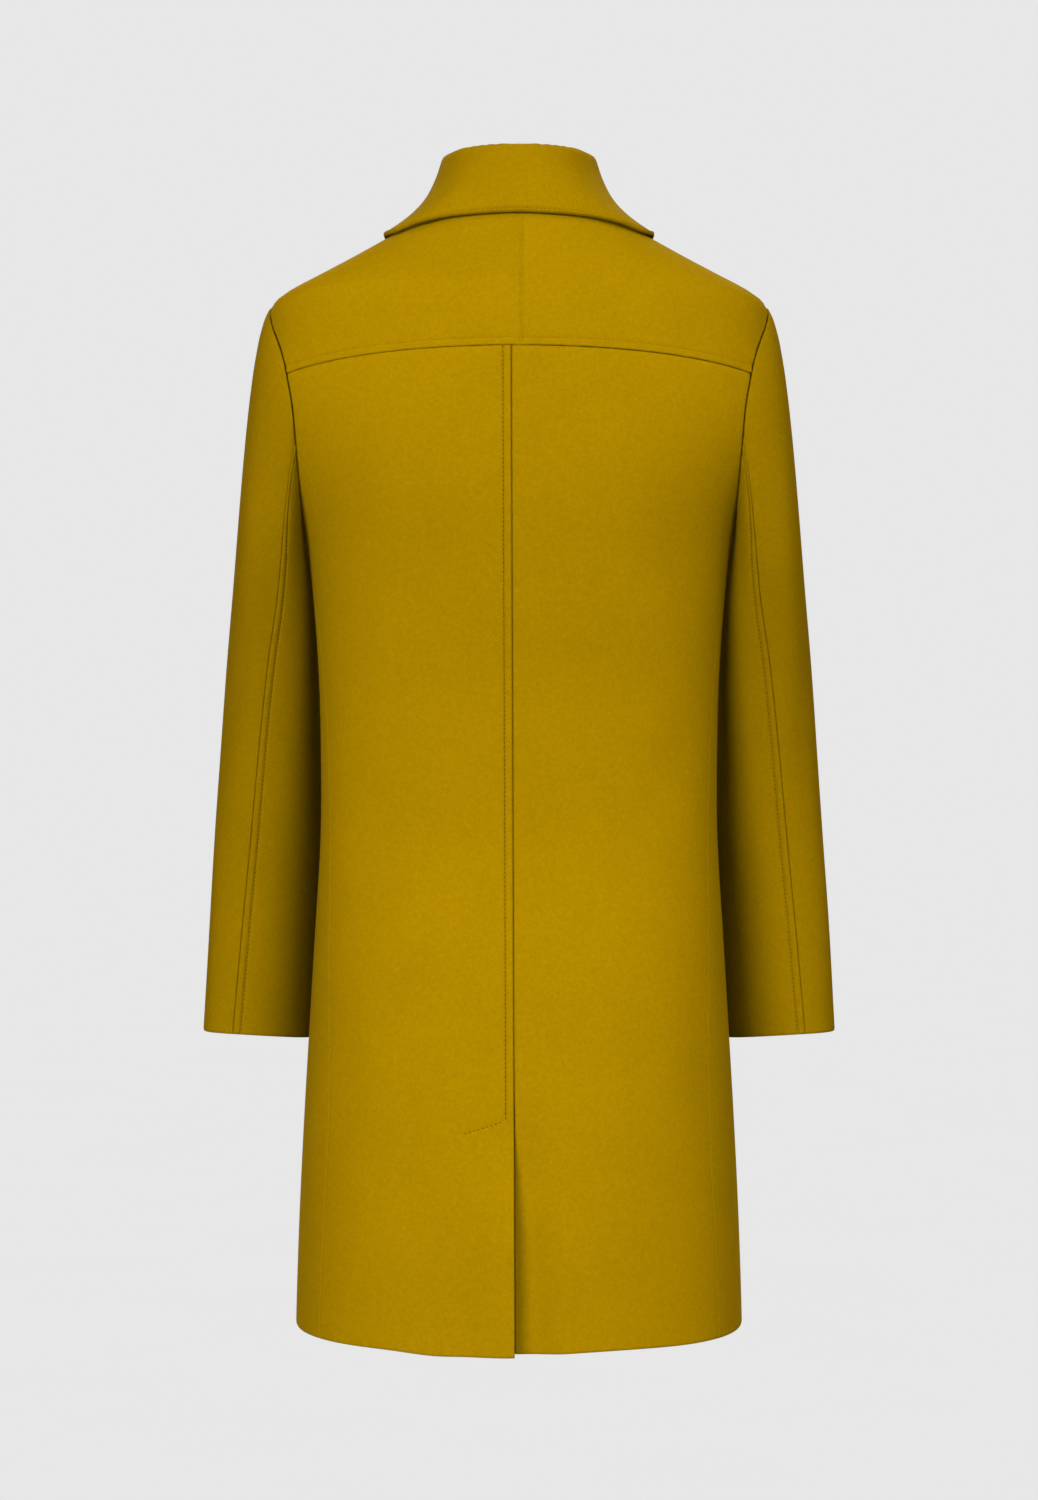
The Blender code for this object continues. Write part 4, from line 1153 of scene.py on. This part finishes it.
def make_sleeve(side, wool):
    """Both halves of a sleeve; the under half is topstitched beside the back seam."""
    word = "right" if side > 0 else "left"
    made = []
    for half, shares in (("top", (5.0, 3.0)), ("under", (1.0, 3.0))):
        grid = sleeve_grid(*shares, side)
        at_seam = grid.first if side > 0 else grid.last
        rim = grid.rim(bottom=HEM_RIM)
        relief = pucker(at_seam, grid.bottom) + pucker(grid.top, grid.first)
        if half == "under":
            relief = (relief + trough(at_seam, STITCH_INSET, SLEEVE_TROUGH_DEPTH)
                      + raised_band(at_seam, STITCH_INSET))
        hem = turned_hem(grid.bottom)
        piece, outer = make_shell(f"sleeve_{word}_{half}_cloth", grid, rim, relief, hem, wool)
        made.append(finished(piece, f"sleeve_{word}_{half}"))
        if half == "under":
            edge = 0 if side > 0 else -1
            shown = slice(STITCH_TRIM, -STITCH_TRIM)
            stitches = (level_line(outer, at_seam, STITCH_INSET)[shown], grid.normals[shown, edge])
    return made, stitches


def make_collar(wool):
    """Collar of two layers, folded, with topstitching along its outer edge and its two ends."""
    grid = collar_grid()
    fall = soft_step((grid.bottom - grid.top) / COLLAR_FOLD_FADE + 0.5)
    half = COLLAR_CLOTH / 2
    rim = grid.rim(first=half, last=half, top=half)
    ends = np.minimum(grid.first, grid.last)
    near = np.minimum(ends, grid.top)
    across = walked(grid.points)
    relief = trough(near, COLLAR_INSET, COLLAR_TROUGH_DEPTH) + raised_band(near, COLLAR_INSET)
    relief = (relief + pucker(grid.top, across)) * fall
    piece, outer = make_shell("collar_cloth", grid, rim, relief, 0 * rim, wool, COLLAR_CLOTH)
    line = level_line(outer.transpose(1, 0, 2), grid.top.T, COLLAR_INSET)
    kept = ends[-1] > COLLAR_INSET
    lines = [(line[kept], grid.normals[-1][kept])]
    fold = fall[:, 0] > COLLAR_STITCHED_FROM
    for distance, column_at in ((grid.first, 0), (grid.last, -1)):
        end_line = level_line(outer, distance, COLLAR_INSET)
        shown = fold & (grid.top[:, column_at] > COLLAR_INSET)
        lines.append((end_line[shown], grid.normals[shown, column_at]))
    return finished(piece, "collar"), lines


# Buttons and buttonholes

def button_mesh(horn):
    """Turned button with a raised rim and four holes."""
    mesh = bpy.data.meshes.new("button")
    bm = bmesh.new()
    line = [bm.verts.new((radius * BUTTON_RADIUS, 0, level * BUTTON_THICKNESS))
            for radius, level in BUTTON_PROFILE]
    edges = [bm.edges.new(pair) for pair in zip(line, line[1:])]
    bmesh.ops.spin(bm, geom=line + edges, cent=(0, 0, 0), axis=(0, 0, 1), angle=2 * math.pi,
                   steps=BUTTON_STEPS, use_merge=True)
    bmesh.ops.remove_doubles(bm, verts=bm.verts[:], dist=BUTTON_MERGE)
    bmesh.ops.recalc_face_normals(bm, faces=bm.faces[:])
    bm.to_mesh(mesh)
    bm.free()
    solid = linked("button_solid", mesh)
    cutters = bpy.data.meshes.new("holes")
    bm = bmesh.new()
    for x in (-HOLE_SPREAD, HOLE_SPREAD):
        for y in (-HOLE_SPREAD, HOLE_SPREAD):
            made = bmesh.ops.create_cone(bm, cap_ends=True, segments=HOLE_STEPS, radius1=HOLE_RADIUS,
                                         radius2=HOLE_RADIUS, depth=4 * BUTTON_THICKNESS)
            bmesh.ops.translate(bm, verts=made["verts"], vec=(x, y, 0))
    bm.to_mesh(cutters)
    bm.free()
    cutter = linked("button_holes", cutters)
    cut = solid.modifiers.new("holes", "BOOLEAN")
    cut.operation = "DIFFERENCE"
    cut.object = cutter
    graph = bpy.context.evaluated_depsgraph_get()
    result = bpy.data.meshes.new_from_object(solid.evaluated_get(graph))
    result.shade_smooth()
    result.set_sharp_from_angle(angle=math.radians(BUTTON_SHARP_ANGLE))
    result.materials.clear()
    result.materials.append(horn)
    for thing in (solid, cutter):
        bpy.data.objects.remove(thing, do_unlink=True)
    return result


def front_frame(height):
    """Seat at the centre of the right front, its outward direction, and its tilt about X."""
    seat = body_point(180.0, height)
    normal = body_normal(180.0, height)
    seat = seat + normal * drape(seat)
    return seat, normal, math.atan2(normal[2], normal[1])


def make_buttons(horn, thread):
    """Four buttons, each sewn on with two bars of thread."""
    mesh = button_mesh(horn)
    for k, height in enumerate(BUTTON_HEIGHTS):
        seat, normal, tilt = front_frame(height)
        button = linked(f"button_{k + 1}_horn", mesh)
        button.rotation_euler = (-math.pi / 2 + tilt, 0, 0)
        button.location = seat + normal * BUTTON_LIFT
        finished(button, f"button_{k + 1}")
        top = seat + normal * (BUTTON_LIFT + BUTTON_WELL * BUTTON_THICKNESS)
        upward = np.cross(normal, (-1.0, 0.0, 0.0))
        lines = [[top + np.array((x, 0, 0)) + upward * (share * HOLE_SPREAD) + normal * rise
                  for share, rise in THREAD_BAR] for x in (-HOLE_SPREAD, HOLE_SPREAD)]
        make_cord(f"button_{k + 1}_thread", lines, BUTTON_THREAD, False, thread)


def make_buttonholes(thread):
    """Stitched rims of the four buttonholes in the right front."""
    rims = []
    turns = np.linspace(0, math.pi, BUTTONHOLE_END_POINTS)
    half = BUTTONHOLE_HALF
    loop = []
    for start, end, way in ((BUTTONHOLE_END, BUTTONHOLE_START, 1), (BUTTONHOLE_START, BUTTONHOLE_END, -1)):
        loop += [(start + way * half * math.sin(t), way * half * math.cos(t)) for t in turns]
        loop += [(x, -way * half) for x in np.linspace(start, end, BUTTONHOLE_SIDE_POINTS)[1:-1]]
    for k, height in enumerate(BUTTON_HEIGHTS):
        line = []
        for x, rise in loop:
            angle = 180 - angle_at_x(x, height + rise)
            place, normal = body_point(angle, height + rise), body_normal(angle, height + rise)
            line.append(place + normal * (drape(place) - BUTTONHOLE_SINK))
        rims.append(make_cord(f"buttonhole_{k + 1}", [line], BUTTONHOLE_THREAD, True, thread))
    return rims


def make_cord(name, lines, radius, closed, material):
    """Thin round threads along lines of points, as one mesh."""
    curve = bpy.data.curves.new(name, "CURVE")
    curve.dimensions = "3D"
    curve.bevel_depth = radius
    curve.bevel_resolution = 2
    curve.use_fill_caps = True
    for line in lines:
        spline = curve.splines.new("POLY")
        spline.points.add(len(line) - 1)
        for point, place in zip(spline.points, line):
            point.co = (*place, 1.0)
        spline.use_cyclic_u = closed
    drawn = linked(name + "_curve", curve)
    graph = bpy.context.evaluated_depsgraph_get()
    mesh = bpy.data.meshes.new_from_object(drawn.evaluated_get(graph))
    bpy.data.objects.remove(drawn, do_unlink=True)
    mesh.shade_smooth()
    mesh.materials.clear()
    mesh.materials.append(material)
    return finished(linked(name, mesh), None)


# Materials

class Nodes:
    """Short way to add and join the nodes of a material."""

    def __init__(self, name):
        self.material = bpy.data.materials.new(name)
        self.material.use_nodes = True
        self.tree = self.material.node_tree
        self.shader = self.tree.nodes["Principled BSDF"]

    def add(self, kind, inputs=None, **settings):
        node = self.tree.nodes.new(kind)
        for name, value in settings.items():
            setattr(node, name, value)
        self.fill(node, inputs or {})
        return node

    def fill(self, node, inputs):
        """Joins each named input of a node to a socket, or gives it a constant value."""
        for name, value in inputs.items():
            if isinstance(value, bpy.types.NodeSocket):
                self.tree.links.new(value, node.inputs[name])
            else:
                node.inputs[name].default_value = value

    def noise(self, place, scale, detail=3.0, roughness=0.55):
        return self.add("ShaderNodeTexNoise", {"Vector": place, "Scale": scale, "Detail": detail,
                                               "Roughness": roughness}).outputs["Fac"]

    def ranged(self, value, low, high):
        """Value from 0.3 to 0.7, where noise mostly lies, moved to between low and high."""
        return self.add("ShaderNodeMapRange", {"Value": value, "From Min": 0.3, "From Max": 0.7,
                                               "To Min": low, "To Max": high}).outputs["Result"]

    def math(self, operation, first, second):
        return self.add("ShaderNodeMath", {0: first, 1: second}, operation=operation).outputs[0]

    def shade(self, colour, factor):
        """Colour made lighter or darker by a factor."""
        return self.add("ShaderNodeVectorMath", {0: colour, "Scale": factor}, operation="SCALE").outputs[0]

    def bump(self, height, strength, distance):
        return self.add("ShaderNodeBump", {"Strength": strength, "Distance": distance,
                                           "Height": height}).outputs["Normal"]

    def surface(self, inputs):
        """The material, with these inputs of its surface."""
        self.fill(self.shader, inputs)
        return self.material


def wool_material(name, painted_shade):
    """Felted wool: fine twill under a short nap, uneven in tone, matt with a soft sheen, its colour darkened
    by a factor of painted shade.
    """
    nodes = Nodes(name)
    # Painted shade: the wool's colour, and with it the sheen tint, is scaled down for the sleeves and the
    # collar
    colour = tuple(painted_shade * part for part in WOOL_COLOUR)
    place = nodes.add("ShaderNodeTexCoord").outputs["Object"]
    cloth = nodes.add("ShaderNodeAttribute", attribute_name="cloth").outputs["Vector"]
    slant = nodes.add("ShaderNodeMapping", {"Vector": cloth, "Rotation": (0, 0, math.radians(58))}).outputs[0]
    twill = nodes.add("ShaderNodeTexWave", {"Vector": slant, "Scale": 330.0, "Distortion": 3.0, "Detail": 2.0,
                                            "Detail Scale": 1.5}).outputs["Fac"]
    fibre = nodes.noise(place, 620.0, 4.0, 0.65)
    clump = nodes.noise(place, 260.0, 3.0)
    tone = nodes.noise(place, 14.0, 2.0)
    light = nodes.math("MULTIPLY", nodes.ranged(fibre, 0.90, 1.10), nodes.ranged(clump, 0.945, 1.055))
    light = nodes.math("MULTIPLY", light, nodes.ranged(tone, 0.975, 1.025))
    weave = nodes.add("ShaderNodeMapRange", {"Value": twill, "To Min": 0.97, "To Max": 1.03})
    light = nodes.math("MULTIPLY", light, weave.outputs["Result"])
    rise = nodes.math("ADD", nodes.math("MULTIPLY", fibre, 0.7), nodes.math("MULTIPLY", twill, 0.3))
    return nodes.surface({
        "Base Color": nodes.shade(colour, light),
        "Normal": nodes.bump(rise, 0.5, 0.0006),
        "Roughness": nodes.ranged(clump, 0.86, 0.96),
        "Specular IOR Level": 0.005,
        "Sheen Weight": 0.06,
        "Sheen Roughness": 0.5,
        "Sheen Tint": (*colour, 1.0),
    })


def thread_material(name, colour):
    """Sewing thread with a twist that shows as fine bands."""
    nodes = Nodes(name)
    place = nodes.add("ShaderNodeTexCoord").outputs["Object"]
    twist = nodes.add("ShaderNodeTexWave", {"Vector": place, "Scale": 420.0, "Distortion": 1.0},
                      bands_direction="DIAGONAL").outputs["Fac"]
    uneven = nodes.ranged(nodes.noise(place, 600.0), 0.9, 1.1)
    return nodes.surface({
        "Base Color": nodes.shade(colour, uneven),
        "Normal": nodes.bump(twist, 0.4, 0.0002),
        "Roughness": nodes.ranged(uneven, 0.6, 0.75),
        "Specular IOR Level": 0.1,
    })


def horn_material():
    """Dark brown button with the streaks of horn and a satin polish."""
    nodes = Nodes("button_horn")
    place = nodes.add("ShaderNodeTexCoord").outputs["Object"]
    stretched = nodes.add("ShaderNodeMapping", {"Vector": place, "Scale": (1.0, 0.22, 1.0)}).outputs[0]
    streak = nodes.noise(stretched, 260.0, 5.0, 0.6)
    ramp = nodes.add("ShaderNodeValToRGB", {"Fac": streak})
    for stop, position, colour in zip(ramp.color_ramp.elements, (0.42, 0.68), (HORN_COLOUR, HORN_STREAK)):
        stop.position = position
        stop.color = (*colour, 1.0)
    scratch = nodes.noise(place, 1500.0, 2.0)
    return nodes.surface({
        "Base Color": ramp.outputs["Color"],
        "Roughness": nodes.ranged(scratch, 0.30, 0.42),
        "Normal": nodes.bump(scratch, 0.05, 0.0002),
    })


def floor_material():
    """Plain pale studio floor that gives off the backdrop's grey, so that no line shows where they meet."""
    nodes = Nodes("studio_floor")
    place = nodes.add("ShaderNodeTexCoord").outputs["Object"]
    even = nodes.ranged(nodes.noise(place, 3.0), 0.998, 1.002)
    return nodes.surface({
        "Emission Color": nodes.shade(BACKDROP_COLOUR, even),
        "Emission Strength": 1.0,
        "Base Color": (0.0, 0.0, 0.0, 1.0),
        "Roughness": 1.0,
        "Specular IOR Level": 0.0,
    })


# Studio

def make_floor():
    bpy.ops.mesh.primitive_circle_add(vertices=FLOOR_STEPS, radius=FLOOR_RADIUS, fill_type="NGON",
                                      location=(0, 0, FLOOR_HEIGHT))
    floor = bpy.context.object
    floor.name = "studio_floor"
    floor.data.materials.append(floor_material())
    floor.visible_diffuse = False


def make_light(name, strength, azimuth, elevation, width):
    """Soft far light, `width` degrees across. Azimuth 0 is behind the camera, below 0 to its left."""
    lamp = bpy.data.lights.new(name, "SUN")
    lamp.energy = strength
    lamp.angle = math.radians(width)
    light = linked(name, lamp)
    light.rotation_euler = (math.radians(90 - elevation), 0, math.radians(azimuth))


def make_world():
    """Pale backdrop, and a dimmer light from all round."""
    world = bpy.data.worlds.new("studio")
    world.use_nodes = True
    nodes, links = world.node_tree.nodes, world.node_tree.links
    light = nodes["Background"]
    light.inputs["Color"].default_value = (1.0, 1.0, 1.0, 1.0)
    light.inputs["Strength"].default_value = AMBIENT
    backdrop = nodes.new("ShaderNodeBackground")
    backdrop.inputs["Color"].default_value = (*BACKDROP_COLOUR, 1.0)
    path = nodes.new("ShaderNodeLightPath")
    mix = nodes.new("ShaderNodeMixShader")
    links.new(path.outputs["Is Camera Ray"], mix.inputs["Fac"])
    links.new(light.outputs[0], mix.inputs[1])
    links.new(backdrop.outputs[0], mix.inputs[2])
    links.new(mix.outputs[0], nodes["World Output"].inputs["Surface"])
    bpy.context.scene.world = world


def make_camera():
    camera = bpy.data.cameras.new("camera")
    camera.sensor_width = SENSOR
    camera.lens = FOCAL_PIXELS / FRAME_HEIGHT_PIXELS * SENSOR
    eye = linked("camera", camera)
    eye.location = CAMERA_PLACE
    eye.rotation_euler = (math.radians(90), 0, 0)
    bpy.context.scene.camera = eye


# The coat and its studio

bpy.context.scene.view_settings.view_transform = "Standard"
make_camera()
make_world()
make_floor()
for light in STUDIO_LIGHTS:
    make_light(*light)

wool = wool_material("mustard_wool", 1.0)
# Painted shade: darker copies of the same wool for the sleeves and the collar
sleeve_wool = wool_material("mustard_wool_sleeves", SLEEVE_PAINTED_SHADE)
collar_wool = wool_material("mustard_wool_collar", COLLAR_PAINTED_SHADE)
# Painted shade: the first two threads are darkened to stand in for the shade in the stitch grooves
thread = thread_material("thread", THREAD_COLOUR_WITH_PAINTED_SHADE)
painted_groove_shade_thread = thread_material("painted_groove_shade_thread", PAINTED_GROOVE_SHADE_THREAD_COLOUR)
pale_thread = thread_material("pale_thread", PALE_THREAD_COLOUR)
horn = horn_material()

panels = {}
panels["back_left"], centre_stitches, vent_stitches = make_back_left(wool)
panels["back_right"] = make_back_right(wool)
panels["back_yoke"], yoke_stitches = make_yoke(wool)
panels["front_left"], _ = make_front(-1, closing_sink, wool)
panels["front_right"], front_stitches = make_front(1, no_sink, wool)
sewn = {}
for word, side in (("left", -1), ("right", 1)):
    (panels[f"sleeve_{word}_top"], panels[f"sleeve_{word}_under"]), line = make_sleeve(side, sleeve_wool)
    dots = make_stitches(f"stitches_sleeve_{word}", [line], painted_groove_shade_thread, DOT_STITCH_LENGTH)
    sewn[f"sleeve_{word}_top"] = [dots]
panels["collar"], collar_stitches = make_collar(collar_wool)

# Rows of stitches drawn with the darkened threads carry painted groove shade
sewn["back_left"] = [
    make_stitches("stitches_centre_back", [centre_stitches], painted_groove_shade_thread, CLOSE_STITCH_LENGTH),
    make_stitches("stitches_vent", [vent_stitches], painted_groove_shade_thread, DOT_STITCH_LENGTH)]
sewn["back_yoke"] = [make_stitches("stitches_yoke", [yoke_stitches], pale_thread)]
sewn["collar"] = [make_stitches("stitches_collar", collar_stitches, painted_groove_shade_thread, DOT_STITCH_LENGTH)]
sewn["front_right"] = make_buttonholes(thread)
sewn["front_right"].append(make_stitches("stitches_front_edge", [front_stitches], thread))
make_buttons(horn, thread)
